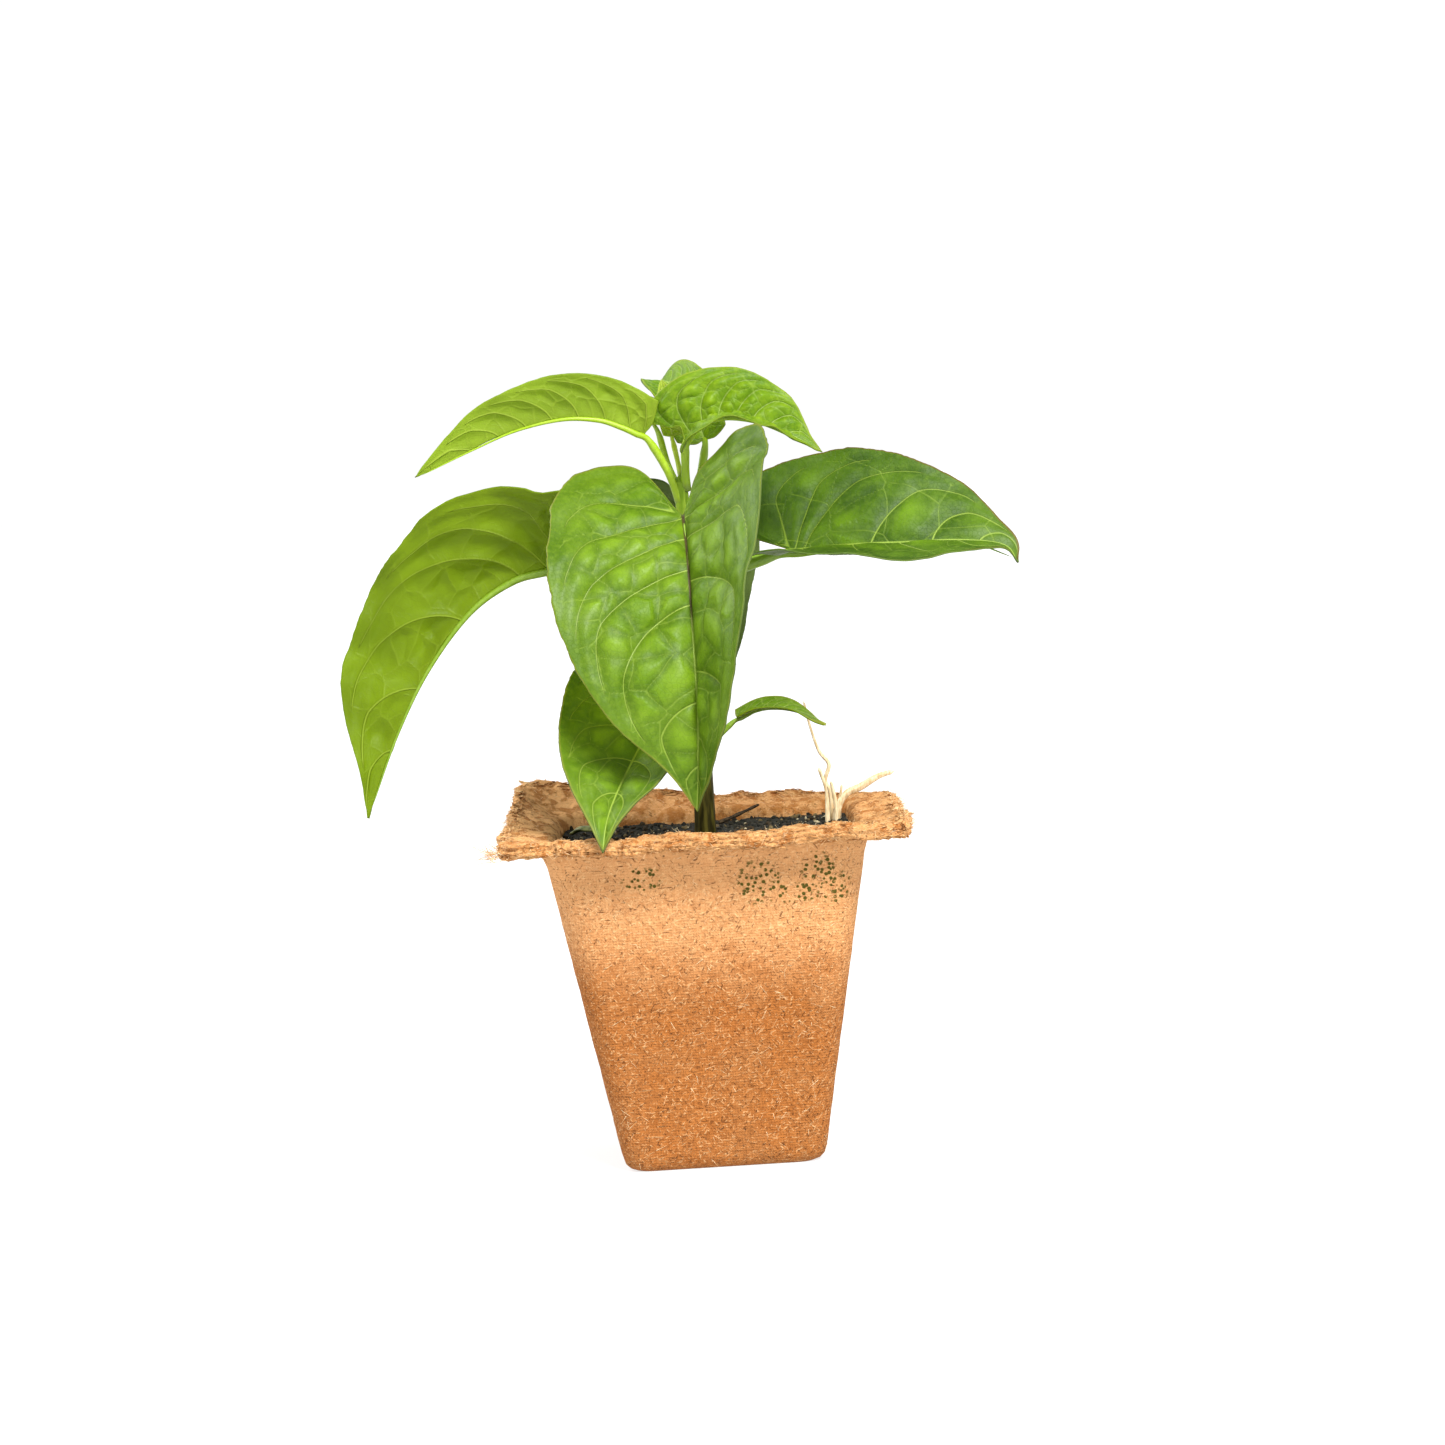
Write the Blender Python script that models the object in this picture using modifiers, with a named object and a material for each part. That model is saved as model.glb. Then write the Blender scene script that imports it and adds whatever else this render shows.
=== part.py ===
"""A young chilli pepper plant in a square moulded fibre pot.

Origin: centre of the pot's base. +Z is up and -Y is the front. Lengths are in metres.
"""

import bisect
import math

import bmesh
import bpy
from mathutils import Matrix, Vector, noise

MM = 0.001

# Driving dimensions
POT_HEIGHT = 84 * MM  # to the top of the flange
POT_TOP_WIDTH = 78 * MM  # outside, just under the flange
POT_BASE_WIDTH = 49 * MM
POT_CORNER = 8 * MM  # outside radius of the upright corners
POT_WALL = 2.4 * MM
POT_FOOT = 1.6 * MM  # the slope round the base
FLANGE_REACH = 10.5 * MM  # how far the flange stands out from the wall
FLANGE_RISE = 2.2 * MM  # the flange's slope up from the wall
SOIL_BELOW_RIM = 4.0 * MM
SOIL_LUMPS = 0.9 * MM
STEM_RADIUS = 2.7 * MM  # at the soil
STEM_TOP_SHARE = 0.52  # the stem's radius at its top, as a share of that
ROOT_END_SHARE = 0.35  # and at the root's lower end
STEM_HEIGHT = 90 * MM  # above the soil
STEM_LEAN = 0.8 * MM  # its top leans to the left, and its middle to the right
LEAVES_GIVEN_AT = 90 * MM  # the stem height that the leaves' sizes are given for
ROOT_DEPTH = 34 * MM
STALK_END_SHARE = 0.4  # a leaf stalk's radius where it ends as the midrib, as a share
LEAF_THICKNESS = 0.7 * MM
CURL = 8  # degrees that the edge of a blade turns up beyond its fold
CLEARANCE = 0.3 * MM

SOIL_TOP = POT_HEIGHT - SOIL_BELOW_RIM
WALL_TOP = POT_HEIGHT - POT_WALL - FLANGE_RISE  # where the outside of the wall turns outward
GROWTH = STEM_HEIGHT / LEAVES_GIVEN_AT  # the leaves' heights and widths change with the stem's
RIM = (POT_TOP_WIDTH / 2 + FLANGE_REACH) / MM  # the flange's edge, in millimetres from the stem
WALL = (POT_TOP_WIDTH / 2 - POT_WALL) / MM  # and the wall's inside, at the soil

# Unit outlines of half a blade, from the stalk round to the tip: (share of the half width,
# share of the lobe's depth if negative, or else of the length)
GROWN = (
    (0.0, 0.0),
    (0.32, -0.94),
    (0.75, -0.76),
    (0.98, 0.10),
    (0.98, 0.34),
    (0.84, 0.55),
    (0.59, 0.73),
    (0.22, 0.88),
    (0.0, 1.0),
)
BROAD_LOBED = ((0.0, 0.0), (0.20, -0.75), (0.64, -1.0), (0.98, -0.50)) + GROWN[4:]
YOUNG = (
    (0.0, 0.0),
    (0.30, -0.45),
    (0.70, -0.15),
    (0.95, 0.16),
    (1.0, 0.34),
    (0.84, 0.53),
    (0.56, 0.72),
    (0.25, 0.88),
    (0.0, 1.0),
)
ROW_CROWDING = 2.4  # the rows of a blade's mesh meet its midrib at this power of their share
SMALL_BLADE = 5  # half the width, in mm
BLADE_ENDS = (0.05, 0.985)  # the blade's mesh stops just short of the stalk and the tip

# Every leaf. stalk and midrib are in millimetres from the stem's foot at soil level, and up is
# the way the upper face looks at the stalk and at the tip. A half is its outline, its width, the
# depth of its basal lobe, and how many degrees it folds up at the stalk, halfway and at the tip.
LEAVES = {
    "leaf_front": {
        "stalk": [(0, 0, 62), (0, -10, 70), (-0.4, -21.5, 79.3)],
        "midrib": [
            (-0.4, -24, 80), (0.2, -35, 69), (0.4, 4.5 - RIM, 50),
            (0.4, 0.5 - RIM, 36), (-0.2, -0.5 - RIM, 22), (-1.2, 0.5 - RIM, 10),
        ],
        "up": ((-0.40, -0.85, 0.4), (-0.55, -0.85, 0.0)),
        "left": (BROAD_LOBED, 29.5, 14.5, (10, 28, 34)),
        "right": (GROWN, 34, 19, (28, 28, 28)),
        "stalk_radius": 1.2,
    },
    "leaf_left": {
        "stalk": [(0, 0, 57), (-12, 0, 65), (-24, 0, 69)],
        "midrib": [
            (-27, 0, 70.5), (-47, 0, 65.5), (-61, 0, 53.5),
            (-70.8, 0, 38.6), (-78.2, 0, 24), (-84, 0, 9.5),
        ],
        "up": ((0, 0.45, 0.9), (-0.7, 0.7, 0.1)),
        "left": (GROWN, 26, 8, (12, 42, 30)),
        "right": (GROWN, 25, 8, (40, 50, 42)),
        "stalk_radius": 1.3,
    },
    "leaf_right": {
        "stalk": [(0, 0, 53), (10, 3, 64.5), (22, 5, 68.7)],
        "midrib": [
            (26, 5, 69.5), (41, 3, 70), (54, 1, 69.8),
            (68, 0, 69.5), (77, -1, 67.5), (82, -1, 64),
        ],
        "up": ((0, -0.5, 0.87), (0.3, -0.5, 0.8)),
        "left": (GROWN, 28, 17, (20, 22, 20)),
        "right": (GROWN, 26, 17, (24, 14, 20)),
        "stalk_radius": 1.3,
    },
    "leaf_back": {
        "stalk": [(0, 0, 47), (0, 13, 65), (0, 26, 77)],
        "midrib": [(0, 29, 79), (-2, 39, 70), (-3, 46, 52), (0, 47, 36), (6, 43, 25)],
        "up": ((0, 0.8, 0.6), (0.1, 1.0, 0.1)),
        "left": (GROWN, 20, 12, (10, 10, 10)),
        "right": (GROWN, 22, 14, (12, 18, 14)),
        "stalk_radius": 1.2,
    },
    "leaf_low_left": {
        "stalk": [(0, 0, 30), (-1.5, -3, 36), (-3, -6, 39.5)],
        "midrib": [
            (-4, -8, 40), (-10, 29.5 - RIM, 31.5), (-16.5, 16.5 - RIM, 21.5),
            (-20.8, 5.5 - RIM, 14), (-23, -0.5 - RIM, 8.4), (-24.2, -4 - RIM, 2),
        ],
        "up": ((-0.1, -0.6, 0.8), (-0.1, -0.75, 0.6)),
        "left": (GROWN, 18, 1, (14, 16, 18)),
        "right": (GROWN, 23, 8, (20, 20, 20)),
        "stalk_radius": 0.9,
    },
    "leaf_low_right": {
        "stalk": [(0, 0, 19), (4, 0, 23.5), (9, 0, 28)],
        "midrib": [(10, 0, 28.8), (15, 0, 30.6), (20.5, 0, 30.6), (26, 0, 29), (31.8, 0, 25.8)],
        "up": ((0, -0.1, 1), (0.3, -0.1, 1)),
        "left": (YOUNG, 5.5, 1, (8, 8, 8)),
        "right": (YOUNG, 5.5, 1, (4, 4, 4)),
        "stalk_radius": 0.6,
    },
    "leaf_top_left": {
        "stalk": [(-0.5, 0, 82), (-4.0, -1.5, 92), (-8.0, -3, 99.3)],
        "midrib": [
            (-9, -3.3, 100.6), (-19, -5, 105), (-30, -6, 105.8),
            (-44.5, -6, 102.6), (-55, -6, 98), (-66, -6, 93.5),
        ],
        "up": ((-0.2, 0.4, 0.9), (-0.3, 0.5, 0.8)),
        "left": (YOUNG, 11, 2, (40, 40, 40)),
        "right": (YOUNG, 11, 2, (34, 38, 38)),
        "stalk_radius": 0.9,
    },
    "leaf_top_right": {
        "stalk": [(0.5, 0, 86), (0.8, -2.5, 92), (1.2, -5, 97)],
        "midrib": [
            (1.4, -6, 98.6), (5, -8, 102.4), (12, -9, 103.6),
            (21, -9, 101.4), (28, -9, 97.6), (34.7, -9, 93.4),
        ],
        "up": ((-0.1, -0.4, 0.9), (0.3, -0.45, 0.8)),
        "left": (YOUNG, 13, 3, (32, 32, 32)),
        "right": (YOUNG, 12, 3, (18, 18, 18)),
        "stalk_radius": 0.9,
    },
    "leaf_young_upright": {
        "stalk": [(-0.4, 0.8, 88.5), (-1.2, 3.2, 94), (-2, 4.6, 98.5)],
        "midrib": [(-2.1, 5, 100), (-2.6, 5.4, 104), (-3.3, 5.8, 109), (-3.9, 6.2, 114)],
        "up": ((0.2, -1, 0.2), (0.2, -1, 0.1)),
        "left": (YOUNG, 4.2, 0.6, (35, 35, 35)),
        "right": (YOUNG, 4.2, 0.6, (30, 30, 30)),
        "stalk_radius": 0.6,
    },
    "leaf_top_back": {
        "stalk": [(0.5, 0, 78), (4.5, 4, 90), (6, 8, 97)],
        "midrib": [(6, 9.5, 98.5), (4, 13, 105), (0, 18, 111), (-3.5, 25, 114), (-7, 34, 112)],
        "up": ((-0.2, -0.8, 0.5), (-0.1, -0.1, 1)),
        "left": (YOUNG, 9, 2, (20, 20, 20)),
        "right": (YOUNG, 9, 2, (26, 26, 26)),
        "stalk_radius": 0.9,
    },
    "leaf_top_small": {
        "stalk": [(-0.5, 0.5, 85), (-3.6, 4.2, 93), (-5.5, 7.5, 101)],
        "midrib": [(-6, 9, 103.5), (-10, 11.5, 107), (-15, 14, 108), (-21, 16, 106)],
        "up": ((0, 0.2, 1), (-0.4, 0.2, 0.9)),
        "left": (YOUNG, 6.5, 1, (24, 24, 24)),
        "right": (YOUNG, 6.5, 1, (28, 28, 28)),
        "stalk_radius": 0.7,
    },
}

# What stands or lies in the soil: points in millimetres from the stem's foot, and the end radii
LITTER = {
    "dry_stalk_bent": (
        [
            (WALL - 4, 15, -8), (WALL - 3, 15, 2), (WALL - 0.6, 15, 6.6),
            (WALL + 3.4, 15, 8.4), (WALL + 8, 15, 10.8), (WALL + 12, 15, 11.8),
        ],
        0.9,
        0.5,
    ),
    "dry_stalk_curly": (
        [
            (WALL - 4.8, 17.5, -7), (WALL - 4.2, 17.5, 6), (WALL - 5.4, 17, 10.5), (WALL - 4.3, 16.5, 14.5),
            (WALL - 6.6, 16.5, 18), (WALL - 8.4, 16, 24), (WALL - 9.8, 15.5, 31),
        ],
        0.5,
        0.25,
    ),
    "dry_stalk_left": (
        [(WALL - 6, 14, -7), (WALL - 5.4, 14, 4), (WALL - 5.6, 14, 9), (WALL - 7, 14, 14)],
        0.55,
        0.3,
    ),
    "dry_stalk_middle": (
        [(WALL - 3.8, 12.2, -7), (WALL - 3.2, 12.3, 2), (WALL - 3.6, 12.5, 7), (WALL - 4.2, 12.5, 10.5)],
        0.6,
        0.3,
    ),
    "dry_stalk_short": (
        [(WALL - 2.8, 18.8, -7), (WALL - 2.2, 18.7, 3), (WALL - 1.3, 18.5, 9)],
        0.5,
        0.25,
    ),
    "dry_stalk_leaning": (
        [(WALL - 4.2, 21, -7), (WALL - 2.7, 21.5, 2), (WALL + 0.4, 22, 6.6), (WALL + 3.9, 22.5, 8.2)],
        0.6,
        0.3,
    ),
    "twig": ([(3.5, 14, 1.6), (7, 15, 2.7), (11, 16, 4.2), (14, 17, 5.4)], 0.4, 0.25),
}
SEED_LEAF_ARCH = [(2.6 - WALL, 8, 1.6), (5.6 - WALL, 6, 3.4), (8.6 - WALL, 4, 3.0), (10.6 - WALL, 3, 1.7)]
SEED_LEAF_WIDTH = 4.4 * MM

GREEN = (0.16, 0.36, 0.03)
YOUNG_GREEN = (0.36, 0.58, 0.06)
STEM_GREEN = (0.14, 0.20, 0.05)
FIBRE_BROWN = (0.58, 0.32, 0.14)
SOIL_BLACK = (0.03, 0.03, 0.025)
STRAW = (0.62, 0.50, 0.30)


def clear_scene():
    for obj in list(bpy.data.objects):
        bpy.data.objects.remove(obj, do_unlink=True)


def make_collection(name):
    collection = bpy.data.collections.new(name)
    bpy.context.scene.collection.children.link(collection)
    return collection


def make_material(name, colour, roughness):
    material = bpy.data.materials.new(name)
    material.use_nodes = True
    shader = material.node_tree.nodes["Principled BSDF"]
    shader.inputs["Base Color"].default_value = (*colour, 1.0)
    shader.inputs["Roughness"].default_value = roughness
    return material


def catmull_rom(points, t):
    """A point on the smooth curve through the points, t from 0 to 1."""
    last = len(points) - 1
    place = min(max(t, 0.0), 1.0) * last
    i = min(int(place), last - 1)
    f = place - i
    p1, p2 = points[i], points[i + 1]
    p0 = points[i - 1] if i else p1 * 2 - p2
    p3 = points[i + 2] if i + 2 <= last else p2 * 2 - p1
    square = p0 * 2 - p1 * 5 + p2 * 4 - p3
    cube = p1 * 3 - p0 - p2 * 3 + p3
    return 0.5 * (p1 * 2 + (p2 - p0) * f + square * f**2 + cube * f**3)


class Path:
    """A smooth curve that is read by length, and goes on straight past its ends."""

    SAMPLES = 120

    def __init__(self, points):
        self.at = [catmull_rom(points, i / self.SAMPLES) for i in range(self.SAMPLES + 1)]
        self.run = [0.0]
        for a, b in zip(self.at, self.at[1:]):
            self.run.append(self.run[-1] + (b - a).length)
        self.length = self.run[-1]

    def ends(self, count):
        """Points spread evenly from one end to the other."""
        return [self.inside(self.length * k / (count - 1)) for k in range(count)]

    def inside(self, s):
        i = min(max(bisect.bisect_left(self.run, s), 1), self.SAMPLES)
        share = (s - self.run[i - 1]) / (self.run[i] - self.run[i - 1])
        return self.at[i - 1].lerp(self.at[i], share)

    def tangent(self, s):
        step = self.length / 25
        middle = min(max(s, step), self.length - step)
        return (self.inside(middle + step) - self.inside(middle - step)).normalized()

    def point(self, s):
        held = min(max(s, 0.0), self.length)
        return self.inside(held) + self.tangent(held) * (s - held)


def from_soil(point):
    """A point given in millimetres from the stem's foot."""
    return Vector(point) * MM + Vector((0, 0, SOIL_TOP))


def leaf_path(points):
    """The path through a leaf's points."""
    return Path([from_soil((x, y, z * GROWTH)) for x, y, z in points])


def square_point(half, radius, share):
    """A point on a square with round corners, share 0 to 1 round from the middle of the right side."""
    flat = half - radius
    quarter = 2 * flat + radius * math.pi / 2
    side, along = divmod(share * 4 * quarter, quarter)
    if along < flat:
        point = Vector((half, along))
    elif along < flat + radius * math.pi / 2:
        angle = (along - flat) / radius
        point = Vector((flat + radius * math.cos(angle), flat + radius * math.sin(angle)))
    else:
        point = Vector((flat - (along - flat - radius * math.pi / 2), half))
    point.rotate(Matrix.Rotation(side * math.pi / 2, 2))
    return point


def wall_half(z):
    """Half the pot's outside width at a height."""
    return (POT_BASE_WIDTH + (POT_TOP_WIDTH - POT_BASE_WIDTH) * z / WALL_TOP) / 2


def pot_ring(half, z, around, inset=0.0):
    """Points round the pot at a height, set in from a square of this half width."""
    radius = max(POT_CORNER * half / wall_half(WALL_TOP) - inset, 2 * MM)
    return [Vector((*square_point(half - inset, radius, k / around), z)) for k in range(around)]


def flange_lift(point):
    """How far the flange bends up: most at one back corner, and the rest ripples."""
    corner = POT_TOP_WIDTH / 2 + FLANGE_REACH
    near = max(0.0, 1 - (Vector((-0.85 * corner, corner)) - point).length / (1.9 * corner))
    ripple = math.sin(point.x / corner * 9 + point.y / corner * 4)
    return 8.5 * MM * near**2 + 0.5 * MM * ripple


def add_rings(bm, rings, capped):
    """Lofts a skin through rings of points, from a floor upward, and closes its top if asked."""
    loops = [[bm.verts.new(p) for p in ring] for ring in rings]
    bm.faces.new(reversed(loops[0]))
    for low, high in zip(loops, loops[1:]):
        for k in range(len(low)):
            bm.faces.new((low[k - 1], low[k], high[k], high[k - 1]))
    if capped:
        bm.faces.new(loops[-1])


def finish_object(name, bm, material, collection):
    mesh = bpy.data.meshes.new(name)
    bm.to_mesh(mesh)
    bm.free()
    mesh.materials.append(material)
    obj = bpy.data.objects.new(name, mesh)
    collection.objects.link(obj)
    return obj


def add_modifier(obj, kind, **settings):
    modifier = obj.modifiers.new(kind.title(), kind)
    for key, value in settings.items():
        setattr(modifier, key, value)
    return modifier


def cut(obj, cutter):
    add_modifier(obj, "BOOLEAN", operation="DIFFERENCE", object=cutter)


def make_pot(collection, material):
    around = 48
    rings = [pot_ring(wall_half(0), 0.0, around, POT_FOOT)]
    rings += [pot_ring(wall_half(z), z, around) for z in (POT_FOOT, WALL_TOP / 2, WALL_TOP)]
    for share in (0.3, 0.65, 1.0):
        half = wall_half(WALL_TOP) + FLANGE_REACH * share
        ring = pot_ring(half, POT_HEIGHT - POT_WALL, around)
        for point in ring:
            torn = 1 + 0.05 * share * noise.noise(Vector((point.x, point.y, 0)) * 90)
            point.z += share * flange_lift(point.xy)
            point.xy = point.xy * torn
        rings.append(ring)
    bm = bmesh.new()
    add_rings(bm, rings, capped=False)
    pot = finish_object("fibre_pot", bm, material, collection)
    add_modifier(pot, "SOLIDIFY", thickness=POT_WALL, offset=-1.0, use_even_offset=True)
    return pot


def make_soil(collection, material):
    around, steps = 40, 7
    gap = POT_WALL + CLEARANCE
    rings = [pot_ring(wall_half(gap), gap, around, gap + POT_FOOT)]
    rings += [pot_ring(wall_half(z), z, around, 1.03 * gap) for z in (gap + POT_FOOT, SOIL_TOP)]
    for step in range(1, steps):
        ring = []
        for edge in rings[2]:
            point = Vector((*edge.xy * (1 - step / steps), SOIL_TOP))
            away = (point.xy.length - 3 * STEM_RADIUS) / (2 * STEM_RADIUS)
            point.z += SOIL_LUMPS * noise.noise(Vector((*point.xy, 0)) * 160) * min(1.0, max(0.0, away))
            ring.append(point)
        rings.append(ring)
    bm = bmesh.new()
    add_rings(bm, rings, capped=True)
    return finish_object("potting_soil", bm, material, collection)


def make_tube(name, path, radius, taper, collection, material, points, fineness=1):
    """A round tapering tube along a path, made from a curve and kept as a welded mesh."""
    curve = bpy.data.curves.new(name, "CURVE")
    curve.dimensions = "3D"
    curve.bevel_depth = radius
    curve.bevel_resolution = fineness
    curve.use_fill_caps = True
    spline = curve.splines.new("POLY")
    spline.points.add(points)
    for k, point in enumerate(spline.points):
        point.co = (*path.point(path.length * k / points), 1.0)
        point.radius = taper(k / points)
    wire = bpy.data.objects.new(name, curve)
    collection.objects.link(wire)
    graph = bpy.context.evaluated_depsgraph_get()
    mesh = bpy.data.meshes.new_from_object(wire.evaluated_get(graph))
    bpy.data.objects.remove(wire)
    bpy.data.curves.remove(curve)
    bm = bmesh.new()
    bm.from_mesh(mesh)
    bpy.data.meshes.remove(mesh)
    bmesh.ops.remove_doubles(bm, verts=bm.verts, dist=1e-6)
    obj = finish_object(name, bm, material, collection)
    obj.data.shade_smooth()
    return obj


def hide(obj):
    obj.hide_render = True
    obj.display_type = "WIRE"
    return obj


def narrowing(end_share):
    """A taper from 1 down to this share."""
    return lambda share: 1 - (1 - end_share) * share


def stem_taper(share):
    """The root widens up to the soil, and the stem narrows above it."""
    soil_at = ROOT_DEPTH / (ROOT_DEPTH + STEM_HEIGHT)
    if share < soil_at:
        return ROOT_END_SHARE + (1 - ROOT_END_SHARE) * share / soil_at
    return 1 - (1 - STEM_TOP_SHARE) * (share - soil_at) / (1 - soil_at)


def make_stem(parts, helpers, material):
    """The stem with its root end, and a slightly larger copy that cuts what it goes through."""
    root = Vector((0, 0, SOIL_TOP - ROOT_DEPTH))
    foot = Vector((0, 0, SOIL_TOP))
    top = foot + Vector((-STEM_LEAN, 0, STEM_HEIGHT))
    middle = foot.lerp(top, 0.5) + Vector((STEM_LEAN, 0, 0))
    path = Path([root, root.lerp(foot, 0.6), foot, middle, top])
    make_tube("stem", path, STEM_RADIUS, stem_taper, parts, material, 18, 2)
    ends = (-CLEARANCE, path.length * 0.3, path.length * 0.65, path.length + CLEARANCE)
    longer = Path([path.point(s) for s in ends])
    wider = lambda share: stem_taper(share) + CLEARANCE / STEM_RADIUS
    return hide(make_tube("stem_cutter", longer, STEM_RADIUS, wider, helpers, material, 18, 2))


def blade_frame(leaf, midrib, s):
    """The midrib's point at a length, the way to its right, and the way its upper face looks."""
    share = min(max(s / midrib.length, 0.0), 1.0)
    up = Vector(leaf["up"][0]).lerp(Vector(leaf["up"][1]), share)
    along = midrib.tangent(s)
    up = (up - along * up.dot(along)).normalized()
    return midrib.point(s), along.cross(up), up


def blade_point(leaf, midrib, t, v):
    """A point of the blade: t runs round the outline from stalk to tip, v from edge to edge."""
    outline, width, lobe, folds = leaf["right" if v > 0 else "left"]
    width *= MM * GROWTH
    wide, along = catmull_rom([Vector(p) for p in outline], t)
    along *= midrib.length if along > 0 else lobe * MM * GROWTH
    start = midrib.length * t**ROW_CROWDING
    share = abs(v)
    across = wide * width * share
    s = start + (along - start) * (0.3 * share + 0.7 * share**2)
    centre, right, up = blade_frame(leaf, midrib, s)
    fold = catmull_rom([Vector((angle, 0)) for angle in folds], s / midrib.length).x
    angle = math.radians(fold + CURL * across / width)
    return centre + right * math.copysign(across * math.cos(angle), v) + up * across * math.sin(angle)


def mesh_size(leaf):
    """Rows and columns of a blade's mesh. A small blade has fewer, because its wall is as thick as a large one's."""
    outline, width, *_ = leaf["left"]
    if width < SMALL_BLADE:
        return 6, 4
    return (11, 6) if outline is YOUNG else (16, 8)


def make_leaf(name, leaf, stem_cutter, collection, helpers, material):
    rows, columns = mesh_size(leaf)
    midrib = leaf_path(leaf["midrib"])
    bm = bmesh.new()
    bmesh.ops.create_grid(bm, x_segments=columns, y_segments=rows, size=0.5)
    low, high = BLADE_ENDS
    for vert in bm.verts:
        t = low + (high - low) * (vert.co.y + 0.5)
        vert.co = blade_point(leaf, midrib, t, 2 * vert.co.x)
    blade = finish_object(name, bm, material, collection)
    add_modifier(blade, "SOLIDIFY", thickness=LEAF_THICKNESS, offset=0.0)
    radius = leaf["stalk_radius"] * MM
    under = blade_frame(leaf, midrib, 0)[2] * radius * -0.5
    rib = [midrib.point(midrib.length * share) for share in (0.04, 0.2, 0.45)]
    rib = [p + under * (1 - 0.5 * k) for k, p in enumerate(rib)]
    path = Path(leaf_path(leaf["stalk"]).ends(3) + rib)
    stalk = make_tube(name + "_stalk", path, radius, narrowing(STALK_END_SHARE), helpers, material, 14)
    add_modifier(blade, "BOOLEAN", operation="UNION", object=hide(stalk))
    cut(blade, stem_cutter)
    return blade


def make_seed_leaf(collection, material):
    """A shed seed leaf that lies arched on the soil."""
    path = Path([from_soil(p) for p in SEED_LEAF_ARCH])
    bm = bmesh.new()
    bmesh.ops.create_grid(bm, x_segments=4, y_segments=8, size=0.5)
    for vert in bm.verts:
        share = vert.co.y + 0.5
        edge = 2 * vert.co.x
        wide = SEED_LEAF_WIDTH / 2 * math.sin(math.pi * (0.12 + 0.8 * share))
        right = path.tangent(share * path.length).cross(Vector((0, 0, 1))).normalized()
        sag = Vector((0, 0, -0.4 * wide * edge**2))
        vert.co = path.point(share * path.length) + right * wide * edge + sag
    leaf = finish_object("seed_leaf", bm, material, collection)
    add_modifier(leaf, "SOLIDIFY", thickness=LEAF_THICKNESS, offset=0.0)


def make_litter(name, points, thick, thin, soil, collection, helpers, material):
    """A dry stalk or twig, and the hole that it stands in."""
    path = Path([from_soil(p) for p in points])
    count = 3 * len(points)
    radius = thick * MM
    make_tube(name, path, radius, narrowing(thin / thick), collection, material, count)
    cutter = make_tube(
        name + "_cutter", path, radius + CLEARANCE, narrowing(thin / thick), helpers, material, count
    )
    cut(soil, hide(cutter))


def main():
    clear_scene()
    parts = make_collection("potted_chilli_pepper")
    helpers = make_collection("cutters")
    green = make_material("leaf_green", GREEN, 0.45)
    young = make_material("young_leaf_green", YOUNG_GREEN, 0.45)
    straw = make_material("dry_straw", STRAW, 0.8)
    make_pot(parts, make_material("wood_fibre", FIBRE_BROWN, 0.95))
    soil = make_soil(parts, make_material("soil", SOIL_BLACK, 0.95))
    stem_cutter = make_stem(parts, helpers, make_material("stem_green", STEM_GREEN, 0.5))
    cut(soil, stem_cutter)
    for name, leaf in LEAVES.items():
        make_leaf(name, leaf, stem_cutter, parts, helpers, young if leaf["left"][0] is YOUNG else green)
    for name, (points, thick, thin) in LITTER.items():
        make_litter(name, points, thick, thin, soil, parts, helpers, straw)
    make_seed_leaf(parts, young)


main()
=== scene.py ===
import math
import random

import bmesh
import bpy
import numpy as np
from mathutils import Matrix, Vector, noise


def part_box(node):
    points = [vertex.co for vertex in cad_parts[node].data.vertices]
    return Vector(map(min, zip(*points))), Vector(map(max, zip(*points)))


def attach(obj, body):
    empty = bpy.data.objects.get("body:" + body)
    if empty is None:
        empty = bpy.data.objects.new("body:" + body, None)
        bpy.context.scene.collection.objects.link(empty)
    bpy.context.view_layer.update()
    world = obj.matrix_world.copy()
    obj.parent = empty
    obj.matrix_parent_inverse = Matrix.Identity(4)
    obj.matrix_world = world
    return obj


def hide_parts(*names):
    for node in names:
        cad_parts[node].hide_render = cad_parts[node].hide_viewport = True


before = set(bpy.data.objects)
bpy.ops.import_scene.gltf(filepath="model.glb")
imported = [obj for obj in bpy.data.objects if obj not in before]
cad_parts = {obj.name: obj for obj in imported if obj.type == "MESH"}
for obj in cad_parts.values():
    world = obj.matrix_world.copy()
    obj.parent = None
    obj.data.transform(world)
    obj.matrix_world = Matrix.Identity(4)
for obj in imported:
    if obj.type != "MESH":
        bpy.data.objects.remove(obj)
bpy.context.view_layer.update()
mm = 0.001
rootDepth = 34 * mm
soilTop = round(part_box("stem")[0].z + rootDepth, 5)  # the stem's foot
soilGap, potWall, flangeReach = 0.3, 2.4, 10.5  # mm
wall = round(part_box("potting_soil")[1].x / mm, 1) + soilGap  # its inside at the soil, in mm from the stem
rim = wall + potWall + flangeReach  # the flange's edge, in mm from the stem

# studio: camera, floor and lights

studio = {
    "cameraPlace": (0.006, -1.0, 0.170),
    "lookDown": 3.56,
    "tilt": 3.6,
    "lens": 100,
    "floor": (0.30, 0.30, 0.30),
    "floorGlow": 0.74,  # the floor is lit from below
    "sky": (1.02, 0.55),  # near the horizon, and overhead
    "skyFade": (0.22, 2.4),  # where the change starts, and how fast it is
    "keyFrom": (0.30, -0.66, 0.80),
    "keyStrength": 5.4,
    "keySpread": 24,  # degrees across
    "rimPlace": (-0.75, 0.30, 0.75),
    "rimWatts": 8.0,
}


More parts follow.
